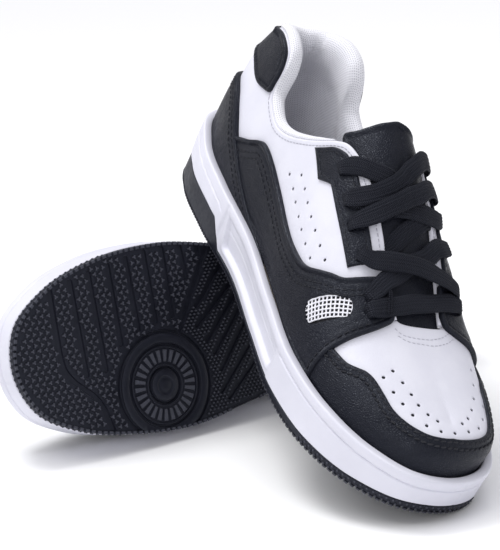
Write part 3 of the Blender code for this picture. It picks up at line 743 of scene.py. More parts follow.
VENT = ((0.3085, 0.216), (0.3055, 0.245), (0.311, 0.340), (0.317, 0.430), (0.323, 0.500), (0.3275, 0.556),
        (0.3325, 0.562), (0.3375, 0.530), (0.3365, 0.470), (0.333, 0.371), (0.325, 0.240), (0.3185, 0.210))
EYELETS = ((0.2389, 0.539), (0.2611, 0.566), (0.2789, 0.575), (0.3011, 0.644), (0.330, 0.680), (0.3395, 0.672))
INNER_EYELETS = ((0.236, 0.555), (0.2545, 0.565), (0.269, 0.575), (0.292, 0.620), (0.320, 0.630), (0.3295, 0.635))
VAMP_THROAT = ((0.3476, -0.142), (0.3496, -0.118), (0.3512, -0.07), (0.3518, -0.02), (0.3518, 0.03), (0.3512, 0.09),
               (0.3498, 0.15), (0.3476, 0.195))
THROAT_ARCS = (
    ((0.3530, -0.170), (0.3585, -0.125), (0.3610, -0.05), (0.3612, 0.03), (0.3570, 0.142), (0.3510, 0.225)),
    ((0.3590, -0.160), (0.3640, -0.100), (0.3660, -0.02), (0.3658, 0.06), (0.3610, 0.170), (0.3545, 0.255)),
)
QUARTER_DOTS = (((0.190, 0.252), (0.203, 0.302)), ((0.203, 0.248), (0.216, 0.304)), ((0.215, 0.245),
                (0.229, 0.308)), ((0.229, 0.247), (0.243, 0.318)), ((0.242, 0.252), (0.257, 0.333)),
                ((0.257, 0.263), (0.272, 0.353)), ((0.272, 0.279), (0.286, 0.379)))
VAMP_DOTS = ((0.390, 0.723), (0.403, 0.755), (0.417, 0.774), (0.431, 0.780), (0.446, 0.805), (0.461, 0.850),
             (0.539, 0.850), (0.556, 0.799), (0.573, 0.745), (0.590, 0.690), (0.608, 0.640), (0.625, 0.600),
             (0.394, 0.625), (0.410, 0.637), (0.424, 0.650), (0.439, 0.660), (0.457, 0.695), (0.478, 0.765),
             (0.507, 0.800), (0.534, 0.735), (0.552, 0.660), (0.570, 0.600), (0.588, 0.560), (0.606, 0.520))
HOLE_RADIUS, EYELET_RADIUS = 0.92, 1.9
# The painted shade in the punched holes: its gap from each hole's edge and its top depth, in mm.
HOLE_SHADE_GAP, HOLE_SHADE_TOP = 0.05, -0.7
OVERLAY_ROWS, TOE_CAP_ROWS, FOXING_ROWS = (6.6, 9.6), (1.9, 4.6), (3.2, 6.2)     # rows of stitches, from the edge


def welt(height, width, groove=0.0, at=0.0):
    """A rolled edge of a panel, with an optional groove further in."""
    def relief(distance):
        bead = height * np.sqrt(np.clip(1 - ((distance - width / 2) / (width / 2)) ** 2, 0, 1))
        return bead - groove * np.exp(-((distance - at) / 0.6) ** 2)
    return relief


def pulled(*rows):
    """Shallow furrows where rows of stitches pull the leather down."""
    return lambda distance: -sum(0.22 * np.exp(-((distance - at) / 0.75) ** 2) for at in rows)


def together(*reliefs):
    return lambda distance: sum(relief(distance) for relief in reliefs)


def loop_of(*parts):
    return np.vstack(parts)


def mirrored(place):
    return np.column_stack([1 - place[:, 0], place[:, 1]])


SIDES = (("lateral", 1), ("medial", -1))


def on_side(places, sign):
    """A closed loop given for the outer side, on the side asked for."""
    return places if sign == 1 else mirrored(places)[::-1]


def before_heel(half):
    """The inner copy of a line that starts at the heel's middle, run so that it ends there."""
    return mirrored(half)[::-1] - (1, 0)


def both(name, boundary, top, bottom, look, slot, replaced, holes=(), inner_holes=None, **options):
    """The outer and inner copies of one panel. Both lists of holes are given as on the outer side."""
    for word, sign in SIDES:
        gaps = [on_side(hole, sign) for hole in (holes if sign == 1 else inner_holes or holes)]
        shell = panel(on_side(boundary, sign), top, bottom, gaps, **options)
        place_pieces(shell, f"{word}_{name}", look, replaced=(f"{word}_{replaced}",))


def place_hole_shade(name, places):
    """Dark floors part of the way down the punched holes, painted shade that makes the holes look deep."""
    shell = None
    for place in places:
        spot = dot(place, HOLE_RADIUS - HOLE_SHADE_GAP)
        shell = panel(spot, HOLE_SHADE_TOP, BASE_BOTTOM, rings=(0.3,), edge=0.05, shell=shell)
    place_pieces(shell, name, "dark")


def build_quarters():
    low = line([(u, PANEL_FOOT) for u in (0.0008, 0.12, 0.25, 0.3468)], spacing=2.0)
    front = line(((0.3468, PANEL_FOOT), (0.3468, 0.862)), spacing=2.0)
    top = line(TOPLINE)[::-1]
    facing = line(FACING)[::-1]
    boundary = loop_of(low, front[1:], facing[1:], top[1:])
    holes = [dot(place, HOLE_RADIUS) for pair in QUARTER_DOTS for place in pair]
    both("quarter", boundary, BASE_TOP, BASE_BOTTOM, "white_leather", "white_leather", "quarter", holes,
         rings=(0.25, 0.7, 1.4, 2.4), relief=pulled(2.6))
    place_hole_shade("quarter_hole_shade", [(side, v) for pair in QUARTER_DOTS for u, v in pair for side in (u, 1 - u)])


def build_vamp():
    toe = line([(u, 0.04) for u in (0.3474, 0.42, 0.5, 0.58, 0.6526)], spacing=2.0)
    inner = line(((0.6526, 0.04), (0.6526, 0.805)), spacing=2.0)
    throat = line(VAMP_THROAT, folded=True)[::-1]
    outer = line(((0.3476, 0.845), (0.3474, 0.04)), spacing=2.0)
    holes = [dot(place, HOLE_RADIUS) for place in VAMP_DOTS]
    shell = panel(loop_of(toe, inner[1:], throat[1:], outer[1:-1]), BASE_TOP, BASE_BOTTOM, holes,
                  rings=(0.25, 0.7, 1.4))
    place_pieces(shell, "vamp", "white_leather", replaced=("vamp",))
    place_hole_shade("vamp_hole_shade", VAMP_DOTS)


def toe_cap_edge():
    half = line(TOE_CAP_EDGE)
    return loop_of(half, mirrored(half)[::-1][1:])


def build_toe_cap():
    foot = line([(u, PANEL_FOOT) for u in (0.655, 0.58, 0.5, 0.42, 0.345)], spacing=1.6)
    shell = panel(loop_of(toe_cap_edge(), foot), CAP_TOP, UNDERSIDE,
                  rings=(0.25, 0.7, 1.3, 2.0, 2.7, 3.6, 4.4, 5.2, 6.2),
                  relief=together(welt(0.35, 3.0), pulled(*TOE_CAP_ROWS)), edge=0.6)
    place_pieces(shell, "toe_cap", "black_leather", replaced=("toe_cap",))


def overlay_outline():
    top = line(OVERLAY_EDGE)
    corner = line((OVERLAY_EDGE[-1], (0.3225, 0.826), (0.332, 0.839), OVERLAY_FRONT[0]))
    front = line(OVERLAY_FRONT)
    foot = line([(u, PANEL_FOOT) for u in (0.358, 0.30, 0.17)], spacing=2.0)
    under = line(((0.17, PANEL_FOOT), (0.13, 0.068), (0.100, 0.100)), spacing=2.0)
    return top, corner, front, foot, under


def build_overlays():
    top, corner, front, foot, under = overlay_outline()
    boundary = loop_of(top, corner[1:], front[1:], foot[1:], under[1:-1])
    window = line(VENT + VENT[:1], spacing=1.0)[:-1]
    holes, inner = ([window] + [dot(place, EYELET_RADIUS, 12) for place in row[4:]]
                    for row in (EYELETS, INNER_EYELETS))
    both("overlay", boundary, OVERLAY_TOP_DEPTH, UNDERSIDE, "black_leather", "black_leather", "overlay",
         holes, inner, rings=(0.25, 0.7, 1.3, 2.0, 2.6, 3.2, 4.2, 5.6, 6.6, 8.0, 9.6),
         relief=together(welt(0.55, 2.6, 0.35, 2.9), pulled(*OVERLAY_ROWS)), edge=0.6)


def build_foxing():
    edge = line(FOXING_EDGE)
    around = loop_of(before_heel(edge), edge[1:])
    foot = line([(u, 0.02) for u in (0.222, 0.10, 0, -0.10, -0.222)], spacing=2.0)
    shell = panel(loop_of(around, foot), FOXING_DEPTH, UNDERSIDE, rings=(0.25, 0.7, 1.3, 2.2, 3.2, 4.2, 5.6, 6.6),
                  relief=pulled(*FOXING_ROWS), edge=0.6)
    place_pieces(shell, "heel_foxing", "black_leather", replaced=("heel_foxing",))


TAB_TOP = ((0, 0.383), (0.030, 0.398), (0.050, 0.422), (0.067, 0.443), (0.085, 0.447), (0.0990, 0.435),
           (0.1068, 0.411), (0.1122, 0.382), (0.1160, 0.338), (0.1172, 0.324))
TAB_LOW = ((0.1172, 0.324), (0.1160, 0.311), (0.1078, 0.299), (0.0944, 0.287), (0.0767, 0.291), (0.050, 0.297),
           (0, 0.300))


def build_heel_seam():
    """The white strip that joins the two quarters down the back of the heel."""
    half, low, high = 0.0085, 0.162, 0.305
    half_top, half_low = (line(((0, v), (half, v)), spacing=1.5) for v in (high, low))
    rise = line(((half, low), (half, 0.23), (half, high)), spacing=1.5)
    right = loop_of(half_low[:-1], rise, half_top[::-1][1:])
    left = before_heel(right)[1:-1]
    shell = panel(loop_of(right, left), 0.9, UNDERSIDE, rings=(0.3, 0.8, 1.6),
                  relief=welt(0.3, 1.6, 0.2, 1.8), edge=0.3)
    place_pieces(shell, "heel_seam", "white_leather")


INNER_TAB_DROP = 0.016           # how far down in v the heel tab's upper edge sits on the inner side


def build_heel_tab():
    half_top, half_low = line(TAB_TOP), line(TAB_LOW)
    top = loop_of(before_heel(half_top), half_top[1:])
    low = loop_of(half_low, before_heel(half_low)[1:])
    inner = top[:, 0] < 0
    top[inner, 1] += INNER_TAB_DROP * np.clip(top[inner, 0] / 0.03, -1, 0)
    shell = panel(loop_of(top, low[1:-1]), TAB_DEPTH, UNDERSIDE, rings=(0.25, 0.7, 1.3, 2.0, 2.8, 3.8),
                  relief=together(welt(0.45, 2.4, 0.3, 2.7)), edge=0.6)
    place_pieces(shell, "heel_tab", "black_leather", replaced=("heel_tab",))


EYESTAY = (
    ((0.201, 0.403), (0.210, 0.452), (0.218, 0.503), (0.226, 0.545), (0.233, 0.577), (0.240, 0.597),
     (0.250, 0.629), (0.262, 0.652), (0.275, 0.677), (0.288, 0.698), (0.3100, 0.730)),
    ((0.3100, 0.730), (0.3045, 0.541)), ((0.3045, 0.541), (0.285, 0.513), (0.267, 0.489), (0.2405, 0.463)),
    ((0.2405, 0.463), (0.2255, 0.392)), ((0.2255, 0.392), (0.201, 0.403)),
)


def build_eyestays():
    parts = [line(part) for part in EYESTAY]
    boundary = loop_of(*(part[:-1] for part in parts))
    holes, inner = ([dot(place, EYELET_RADIUS, 12) for place in row[:4]] for row in (EYELETS, INNER_EYELETS))
    both("eyestay", boundary, TAB_DEPTH, UNDERSIDE, "black_leather", "black_leather", "eyestay",
         holes, inner, rings=(0.25, 0.7, 1.3, 2.0, 2.8, 3.6),
         relief=together(welt(0.25, 2.4), pulled(2.3)), edge=0.6)


NET_CORNERS = ((0.3038, 0.222), (0.3268, 0.578), (0.3198, 0.190), (0.3392, 0.538))
NET_STRAND, NET_COLUMNS, NET_ROWS = 0.8, 12, 5
NET_DEPTH, NET_WAVE = 1.0, 0.13      # the strands pass over and under each other by the wave
STRAND_SECTION = ((-1, -0.5), (-0.7, 0.8), (0, 1), (0.7, 0.8), (1, -0.5), (0, -1))
BACKING_TOP = 0.45


def net_shell(sign):
    """Woven strands on a regular grid across the window, whose corners lie under the overlay."""
    shell = Shell()
    low_left, high_left, low_right, high_right = np.array(NET_CORNERS)

    def patch(s, t):
        left = low_left + (high_left - low_left) * s[:, None]
        right = low_right + (high_right - low_right) * s[:, None]
        return left + (right - left) * t[:, None]

    def even(s, t):
        """Shares of the patch that are evenly spaced in mm along a line through its middle."""
        fine = np.linspace(0, 1, 200)
        middle = patch(fine, np.full(200, 0.5)) if s else patch(np.full(200, 0.5), fine)
        run = running_length(raw_surface(*middle.T))
        return np.interp(t * run[-1], run, fine)

    def strip(places, waves, phase):
        places = places if sign == 1 else mirrored(places)
        depth = NET_DEPTH + NET_WAVE * np.cos(np.linspace(0, math.pi * waves, len(places)) + phase)
        spots, normal = skin(*places.T, depth), skin_normal(*places.T)
        side = unit(np.cross(normal, np.gradient(spots, axis=0)))
        strand = [spots + side * a * NET_STRAND / 2 + normal * b * 0.3 for a, b in STRAND_SECTION]
        loft(shell, np.stack(strand, 1)[:, ::-1])

    for k in range(NET_ROWS + 1):
        t = even(False, k / NET_ROWS)
        s = even(True, np.linspace(0, 1, 4 * NET_COLUMNS + 1))
        strip(patch(s, np.full(len(s), t)), NET_COLUMNS, math.pi * (k % 2))
    for k in range(NET_COLUMNS + 1):
        s = even(True, k / NET_COLUMNS)
        t = even(False, np.linspace(0, 1, 4 * NET_ROWS + 1))
        strip(patch(np.full(len(t), s), t), NET_ROWS, math.pi * (k % 2 + 1))
    return shell


def build_nets():
    backing = line(VENT + VENT[:1], spacing=1.5)[:-1]
    for word, sign in SIDES:
        place_pieces(net_shell(sign), f"{word}_vent_net", "white_net", replaced=(f"{word}_vent_net",))
        shell = panel(on_side(backing, sign), BACKING_TOP, UNDERSIDE, rings=(1.5,), edge=0.1)
        # Dark discs under the eyelets: painted shade in the eyelet holes.
        for place in EYELETS if sign == 1 else INNER_EYELETS:
            spot = on_side(dot(place, EYELET_RADIUS - 0.06, 12), sign)
            panel(spot, BACKING_TOP, UNDERSIDE, rings=(0.8,), edge=0.1, shell=shell)
        place_pieces(shell, f"{word}_vent_backing", "dark")


# ---------------------------------------------------------------- padding, linings, tongue

def topline_places(spacing=1.6):
    """The top edge from the inner facing round the heel to the outer one."""
    half = line(TOPLINE, spacing=spacing)
    half = half[half[:, 0] < COLLAR_FRONT]
    half[0, 0] = 0
    return loop_of(before_heel(half)[:-1], half)


COLLAR_FRONT = 0.2125            # where the padding ends, at the tongue's upper corners
# Depth outwards and height over the top edge, in mm, from the seam over the roll and down inside.
COLLAR_SECTION = ((-1.5, -7.0), (-1.5, -2.5), (-1.1, -0.4), (-0.2, 1.1), (-0.4, 2.7), (-1.7, 4.0), (-3.6, 4.6),
                  (-5.6, 4.1), (-7.5, 2.4), (-8.9, -0.5), (-9.4, -4.0), (-9.3, -8.5), (-8.6, -13.5),
                  (-7.2, -19.0), (-5.9, -24.0))
LINING_FACE, LINING_BACK = -4.9, -3.9
SEAM_DEPTH = 1.5                 # the section inside this depth is padding, which thins out to the front
COLLAR_TAPER, COLLAR_TIP = 75.0, 12.0    # mm over which it thins out, gently and then fully
LINING_TOP, LINING_FOOT = -6.0, 0.05     # mm over the top edge, and v


def build_collar():
    """The padded roll and the lining below it, as one closed body round the opening."""
    places = topline_places()
    spots = raw_surface(*places.T)
    run = running_length(spots)
    end = np.minimum(run, run[-1] - run)
    thin = ((0.50 + 0.50 * np.clip(end / COLLAR_TAPER, 0, 1) ** 0.8)
            * (0.5 + 0.5 * np.clip(end / COLLAR_TIP, 0, 1) ** 0.5))
    climb = np.linalg.norm(slopes(*places.T)[1], axis=1)
    out, above = smooth_line(COLLAR_SECTION, 3).T
    padded, lining = out < -SEAM_DEPTH, (above < LINING_TOP) & (out < -2)
    rings, flat = [], []
    for i, (u, v) in enumerate(places):
        height = above * np.where(above > LINING_TOP, thin[i], 1)
        depth = np.where(padded, out * thin[i] - SEAM_DEPTH * (1 - thin[i]), out)
        depth = np.where(lining, np.minimum(depth, LINING_FACE), depth)
        rise = np.maximum(v + height / climb[i], LINING_FOOT + 0.02)
        down = np.linspace(rise[-1], LINING_FOOT, 9)[1:]
        rise = np.concatenate([rise, down, [LINING_FOOT], np.linspace(LINING_FOOT, rise[0], 8)[1:-1]])
        depth = np.concatenate([depth, np.linspace(depth[-1], LINING_FACE, 8), [LINING_BACK],
                                np.linspace(LINING_BACK, -1.6, 8)[1:-1]])
        rings.append(skin(np.full(len(rise), u), rise, depth))
        flat.append(np.column_stack([np.full(len(rise), run[i]), running_length(rings[-1]), np.zeros(len(rise))]))
    shell = loft(Shell(), np.array(rings), np.array(flat))
    place_pieces(shell, "collar_padding", "white_pad",
                 replaced=("collar_padding",), angle=70)


def build_linings():
    low = line(((0.2135, 0.05), (0.28, 0.05), (0.348, 0.05)), spacing=3.0)
    front = line(((0.348, 0.05), (0.348, 0.852)), spacing=3.0)
    facing = line(((0.348, 0.855), (0.307, 0.809), (0.288, 0.776), (0.258, 0.698), (0.238, 0.624), (0.2256, 0.568),
                   (0.2144, 0.502)), spacing=1.6)
    back = line(((0.2144, 0.502), (0.2135, 0.45), (0.2135, 0.05)), spacing=3.0)
    boundary = loop_of(low, front[1:], facing[1:], back[1:-1])
    for word, sign in SIDES:
        shell = panel(on_side(boundary, sign), -1.55, -2.6, rings=(0.5, 1.5, 3.0), edge=0.2,
                      relief=lambda distance: -2.0 * np.clip(distance / 8, 0, 1) ** 2)
        place_pieces(shell, f"{word}_front_lining", "white_lining", replaced=("quarter_lining",))
    toe = line([(u, 0.06) for u in (0.362, 0.43, 0.5, 0.57, 0.638)], spacing=3.0)
    over = line([(0.362, c) for c in (-0.94, -0.5, 0.0, 0.5, 0.94)], folded=True, spacing=3.0)[::-1]
    shell = panel(loop_of(toe, over[1:-1]), LINING_BACK, LINING_FACE, rings=(1.0, 2.5), edge=0.3)
    place_pieces(shell, "vamp_lining", "white_lining", replaced=("vamp_lining",))


TONGUE_EDGE = ((0.361, 0.22), (0.352, 0.240), (0.335, 0.272), (0.315, 0.312), (0.295, 0.352), (0.275, 0.392),
               (0.255, 0.425), (0.235, 0.450), (0.222, 0.465), (0.2145, 0.470), (0.2125, 0.455),
               (0.2155, 0.418), (0.220, 0.372), (0.2255, 0.28), (0.2290, 0.19), (0.2318, 0.09), (0.2325, 0.0))


def tongue_loop(inset=0.0):
    outer = line([(u, -c + 0.01 * inset) for u, c in TONGUE_EDGE], folded=True, spacing=1.4)
    inner = mirrored(outer)[::-1]
    toe = line([(0.361, c) for c in (0.22 - 0.01 * inset, 0.0, -0.22 + 0.01 * inset)], folded=True, spacing=2.0)
    return loop_of(outer, inner[1:], toe[1:-1])


def build_tongue():
    shell = panel(tongue_loop(), -2.3, -3.6, rings=(0.3, 0.8, 1.5, 2.3, 3.2, 4.5),
                  relief=together(welt(0.5, 3.2, 0.25, 3.4), lambda d: 0.9 * np.clip((d - 4) / 12, 0, 1)), edge=0.7)
    place_pieces(shell, "tongue_face", "black_leather", body="tongue", replaced=("tongue_face",))
    shell = panel(tongue_loop(1.0), -3.7, -6.4, rings=(0.3, 0.9, 1.8, 3.0, 5.0), edge=0.9)
    # The padding bulges downwards, away from its rim.
    upper = shell.points[0][:len(shell.points[0]) // 2]
    lower = shell.points[0][len(shell.points[0]) // 2:]
    rim = raw_surface(*tongue_loop(1.0).T)
    swell = np.clip(nearest(upper, rim) / 9, 0, 1)[:, None] ** 0.5
    shell.points[0] = np.vstack([upper, upper + (lower - upper) * (0.45 + 0.75 * swell)])
    place_pieces(shell, "tongue_padding", "white_pad", body="tongue",
                 replaced=("tongue_padding",))


def build_sockliner():
    count = 160
    inset = FEATHER_INSET - LINING_FACE + 0.6
    dish = ((0.0, -3.3), (0.3, -2.65), (1.0, -2.3), (3.0, -2.5), (7.0, -3.2), (12.0, -3.6), (18.0, -3.8))
    rings = [ring(inset + step, raised(sole_top, lift), count) for step, lift in ((0, -5.8), *dish)]
    shell = stack(Shell(), rings)
    place_pieces(shell, "sockliner", "white_lining", replaced=("sockliner",))


# ---------------------------------------------------------------- laces and stitching

LACE_WIDE, LACE_THICK, LACE_RIBS = 9.8, 1.8, 5
LACE_TAPER, RIB_HEIGHT = 12.0, 0.11      # mm: how long each end narrows, and how high the ribs stand
# Each strap as folded (u, c) places with the lace's height over the white leather, in mm.
STRAPS = (
    ((0.306, -0.23, -1.9), (0.303, -0.15, -0.7), (0.298, -0.08, -0.4), (0.293, 0.00, -0.3), (0.288, 0.10, -0.3),
     (0.284, 0.19, -0.8), (0.283, 0.26, -1.8)),
    ((0.237, -0.49, -1.0), (0.239, -0.46, 2.5), (0.243, -0.41, 2.7), (0.250, -0.33, 2.2), (0.257, -0.25, 1.0),
     (0.263, -0.16, 0.2), (0.268, -0.08, -0.3), (0.272, 0.04, -0.4), (0.275, 0.13, -0.9)),
    ((0.260, -0.47, -1.2), (0.262, -0.44, 2.4), (0.268, -0.37, 2.4), (0.274, -0.27, 1.1), (0.281, -0.13, 0.9),
     (0.283, 0.01, 0.8), (0.282, 0.12, 0.9), (0.280, 0.23, 1.4), (0.277, 0.32, 2.5), (0.272, 0.39, 2.6),
     (0.269, 0.43, -1.2)),
    ((0.235, 0.46, -1.0), (0.236, 0.42, 2.5), (0.239, 0.36, 2.9), (0.244, 0.28, 2.4), (0.249, 0.20, 1.6),
     (0.256, 0.11, 1.6), (0.262, 0.02, 1.8), (0.267, -0.05, 2.0), (0.270, -0.14, 2.2), (0.270, -0.27, 3.0),
     (0.266, -0.39, 4.2), (0.263, -0.43, 3.6), (0.261, -0.46, -1.0)),
    ((0.255, 0.45, -1.2), (0.256, 0.41, 2.6), (0.259, 0.34, 3.0), (0.263, 0.25, 3.0), (0.268, 0.16, 3.0),
     (0.273, 0.08, 3.1), (0.278, -0.05, 3.4), (0.281, -0.17, 3.4), (0.282, -0.28, 3.4), (0.281, -0.37, 3.4),
     (0.280, -0.41, 2.8), (0.278, -0.45, -1.2)),
    ((0.292, 0.40, -1.0), (0.292, 0.36, 3.2), (0.295, 0.29, 3.2), (0.299, 0.20, 2.2), (0.307, 0.10, 1.4),
     (0.312, -0.01, 1.2), (0.318, -0.11, 1.3), (0.322, -0.20, 2.6), (0.328, -0.28, 3.4), (0.330, -0.32, 2.8),
     (0.331, -0.34, -1.2)),
    ((0.300, -0.39, -1.2), (0.302, -0.36, 2.5), (0.308, -0.28, 3.0), (0.311, -0.18, 3.3), (0.313, -0.07, 3.4),
     (0.315, 0.05, 3.6), (0.317, 0.16, 4.0), (0.318, 0.25, 4.4), (0.320, 0.34, 4.0), (0.320, 0.39, -1.0)),
    ((0.340, -0.35, -1.2), (0.340, -0.33, 3.6), (0.340, -0.26, 3.5), (0.339, -0.14, 2.4), (0.337, -0.04, 2.0),
     (0.335, 0.08, 2.0), (0.332, 0.19, 2.8), (0.330, 0.28, 3.9), (0.330, 0.34, 3.7), (0.330, 0.38, -1.0)),
)
KEEPER = ((0.333, -0.20, 1.8), (0.334, -0.20, 4.9), (0.340, -0.21, 5.0), (0.345, -0.21, 2.8))


def ribbon(shell, knots, wide, thick, taper=True, ribs=LACE_RIBS, lean=0.0):
    """A flat lace with lengthwise ribs, narrowed where it goes through an eyelet."""
    fine = smooth_line(knots, 16)
    lift = fine[:, 2]
    places = unfold(fine[:, :2])
    normal = skin_normal(*places.T)
    spots = raw_surface(*places.T) + normal * lift[:, None]
    run = running_length(spots)
    count = max(12, int(run[-1] / 0.7))
    at = np.linspace(0, run[-1], count)
    spots, normal = sample(at, run, spots), sample(at, run, normal)
    travel = unit(np.gradient(spots, axis=0))
    side = unit(np.cross(normal, travel))
    normal = np.cross(travel, side)
    tilt = math.radians(7) * np.sin(at / 9.0 + lean) + math.radians(3) * lean
    side, normal = (side * np.cos(tilt)[:, None] + normal * np.sin(tilt)[:, None],
                    normal * np.cos(tilt)[:, None] - side * np.sin(tilt)[:, None])
    near_end = np.clip(np.minimum(at, run[-1] - at) / LACE_TAPER, 0, 1) if taper else np.ones(count)
    width = wide * (0.50 + 0.50 * near_end ** 0.7) * (1 + 0.03 * np.sin(at / 4.0 + lean * 3))
    deep = thick * (1.3 - 0.3 * near_end)
    face = 23                        # points across the ribbed face; the back has fewer
    across = np.concatenate([np.linspace(-1, 1, face), np.linspace(1, -1, 9)[1:-1]])
    top = np.arange(len(across)) < face
    body = np.sqrt(np.clip(1 - np.abs(across) ** 5, 0.04, 1)) * np.where(top, 0.5, -0.5)
    rib = RIB_HEIGHT * np.cos(across * math.pi * ribs) * top * (np.abs(across) < 0.93)
    grid = (spots[:, None] + side[:, None] * (across[None, :, None] * width[:, None, None] / 2)
            + normal[:, None] * (body[None] * deep[:, None] + rib[None])[..., None])
    flat = np.zeros(grid.shape)
    flat[..., 0], flat[..., 1] = at[:, None], across[None] * wide / 2
    loft(shell, grid, flat)


def build_laces():
    shell = Shell()
    for number, knots in enumerate(STRAPS):
        ribbon(shell, knots, LACE_WIDE, LACE_THICK, lean=(number % 3 - 1) * 0.9)
    for shift in (0.0, 0.013):
        ribbon(shell, [(u, c + shift, h) for u, c, h in KEEPER], 0.8, 0.8, taper=False, ribs=1)
    place_pieces(shell, "lace", "black_lace", replaced=("lace",), angle=60)


def inward(places, distance):
    """The closed loop of places moved inwards by distance mm."""
    return shifted(places, distance if flat_area(places) > 0 else -distance)


PANEL_STITCH = {"pitch": 3.6, "length": 2.3, "radius": 0.3}


def beside(edge, distance):
    """An open line moved distance mm to its right."""
    return shifted(edge, -distance, closed=False)


def build_stitching():
    black, white = Shell(), Shell()

    def row(shell, places, depth, **options):
        for side in (places, mirrored(places)):
            stitch(shell, side, depth, **options)

    for distance in OVERLAY_ROWS:
        row(black, beside(line(OVERLAY_EDGE), distance)[6:-3], OVERLAY_TOP_DEPTH - 0.02, **PANEL_STITCH)
    row(black, beside(line(OVERLAY_FRONT[1:]), 3.4), OVERLAY_TOP_DEPTH, **PANEL_STITCH)
    for distance in TOE_CAP_ROWS:
        stitch(black, beside(toe_cap_edge(), distance)[4:-4], CAP_TOP + 0.08,
               pitch=3.3, length=2.7, radius=0.46, slant=0.25)
    edge = line(FOXING_EDGE)
    heel = loop_of(before_heel(edge), edge[1:])
    for distance in FOXING_ROWS:
        stitch(black, beside(heel, distance)[8:-8], FOXING_DEPTH - 0.02, **PANEL_STITCH)
    eyestay = loop_of(*(line(part)[:-1] for part in EYESTAY))
    inner = inward(eyestay, 2.4)
    inner = inner[nearest(raw_surface(*inner.T), raw_surface(*eyestay.T)) > 2.2]
    row(black, inner, TAB_DEPTH - 0.1, **PANEL_STITCH)
    row(black, beside(line(TAB_LOW), 2.0)[3:], TAB_DEPTH + 0.1, pitch=3.0, length=2.0, radius=0.26)
    seam = loop_of(line(TOPLINE), line(FACING)[1:])
    row(white, beside(seam, 2.6)[8:-4], BASE_TOP - 0.12, pitch=2.6, length=1.9, radius=0.26)
    for arc in THROAT_ARCS:
        stitch(white, line(arc, folded=True), BASE_TOP + 0.02, pitch=2.4, length=1.7, radius=0.24)
    place_pieces(black, "black_stitching", "black_thread", angle=80)
    place_pieces(white, "white_stitching", "white_thread", angle=80)


# ---------------------------------------------------------------- midsole

LIP_INNER, LIP_ROUND = 4.3, 1.1
HEEL_GROOVE_END, HEEL_BAND_END = 75.0, 79.0
FORE_START, FORE_BAND = 184.0, 5.6
FIELD_HEEL, FIELD_TOE, FIELD_FOOT = 80.5, 183.2, 4.4     # where the waist's sunk field starts, ends and stands


def smallest(*values, blur=1.2):
    """The least of the values, rounded off where two are nearly equal."""
    return -blur * np.log(sum(np.exp(-np.clip(value, -40, 40) / blur) for value in values))


def wall_rise(x, t, tall):
    """What the midsole wall stands out by, at x along the shoe and t mm up a wall tall mm high."""
    f = t / tall
    # The heel: a rounded band with a groove round it.
    groove_at = tall * (0.66 - 0.12 * np.clip((x - 30) / 45, 0, 1))
    rise = -0.75 * np.exp(-((t - groove_at) / 0.42) ** 2) * np.clip((HEEL_GROOVE_END - x) / 2, 0, 1)
    rise += np.clip((HEEL_BAND_END - x) / 1.6, 0, 1) * 0.9 * np.sqrt(np.clip(1 - ((f - 0.55) / 0.56) ** 2, 0, 1))
    # The forefoot: a fine groove below a rounded upper band.
    fore = np.clip((x - FORE_START) / 2, 0, 1)
    line_at = tall - FORE_BAND
    rise -= fore * np.clip((x - FORE_START - 4) / 2, 0, 1) * 0.85 * np.exp(-((t - line_at) / 0.38) ** 2)
    above = np.clip((t - line_at) / FORE_BAND, 0, 1)
    rise += fore * (0.45 + 0.35 * np.sin(math.pi * above) * (above > 0))
    # The waist: a sunk field with a raised border under a rounded band.
    middle = 1 - np.clip((x - FORE_START) / 1.5, 0, 1) - np.clip((HEEL_BAND_END + 1 - x) / 1.5, 0, 1)
    d = smallest(x - (FIELD_HEEL + 8 * (1 - f)), FIELD_TOE + 1.0 * f - x, t - FIELD_FOOT)
    floor = eased(d, 0, 1.3)
    slope = np.clip((t - FIELD_FOOT) / np.maximum(tall - 10.5, 1), 0, 1)
    top_band = np.clip((t - (tall - 6.2)) / 1.0, 0, 1)
    rise += middle * (0.55 * np.exp(-((d + 1.1) / 0.9) ** 2) * (top_band < 0.5)
                      - floor * (2.5 - 1.5 * slope) * (1 - top_band))
    band = np.clip((t - (tall - 6.0)) / 6.0, 0, 1)
    rise += middle * 0.75 * np.sin(math.pi * np.clip(band, 0, 1)) * (band > 0)
    rise -= middle * floor * (1 - top_band) * 0.25 * np.exp(-((t - 0.56 * tall) / 0.4) ** 2)
    return rise


def build_midsole():
    count, rows = 720, 46
    u = np.arange(count) / count
    x = outline(u)[:, 0]
    low, high = outsole_top(x) + 0.3, sole_top(x)
    mould_line = 0.35 * np.exp(-((u - 0.518) * ROUND / 0.5) ** 2)
    levels = [(2.0, low + 0.05)]
    for f in np.linspace(0, 1, rows):
        t = f * (high - low - LIP_ROUND)
        edge = 0.35 - 0.3 * f - wall_rise(x, t, high - low) * 0.9 + mould_line + 0.5 * np.clip(1 - t / 0.5, 0, 1)
        levels.append((edge, low + t))
    for angle in np.linspace(0.25, 1, 5) * math.pi / 2:
        levels.append((edge + LIP_ROUND * (1 - math.cos(angle)), high - LIP_ROUND + LIP_ROUND * math.sin(angle)))
    levels += [(LIP_INNER - 0.8, high), (LIP_INNER, high - 0.7), (LIP_INNER, high - CUP_DEPTH)]
    shell = stack(Shell(), [np.column_stack([outline_inset(u, inset), level]) for inset, level in levels])
    place_pieces(shell, "midsole", "white_sole", replaced=("midsole",), angle=60)


# ---------------------------------------------------------------- outsole

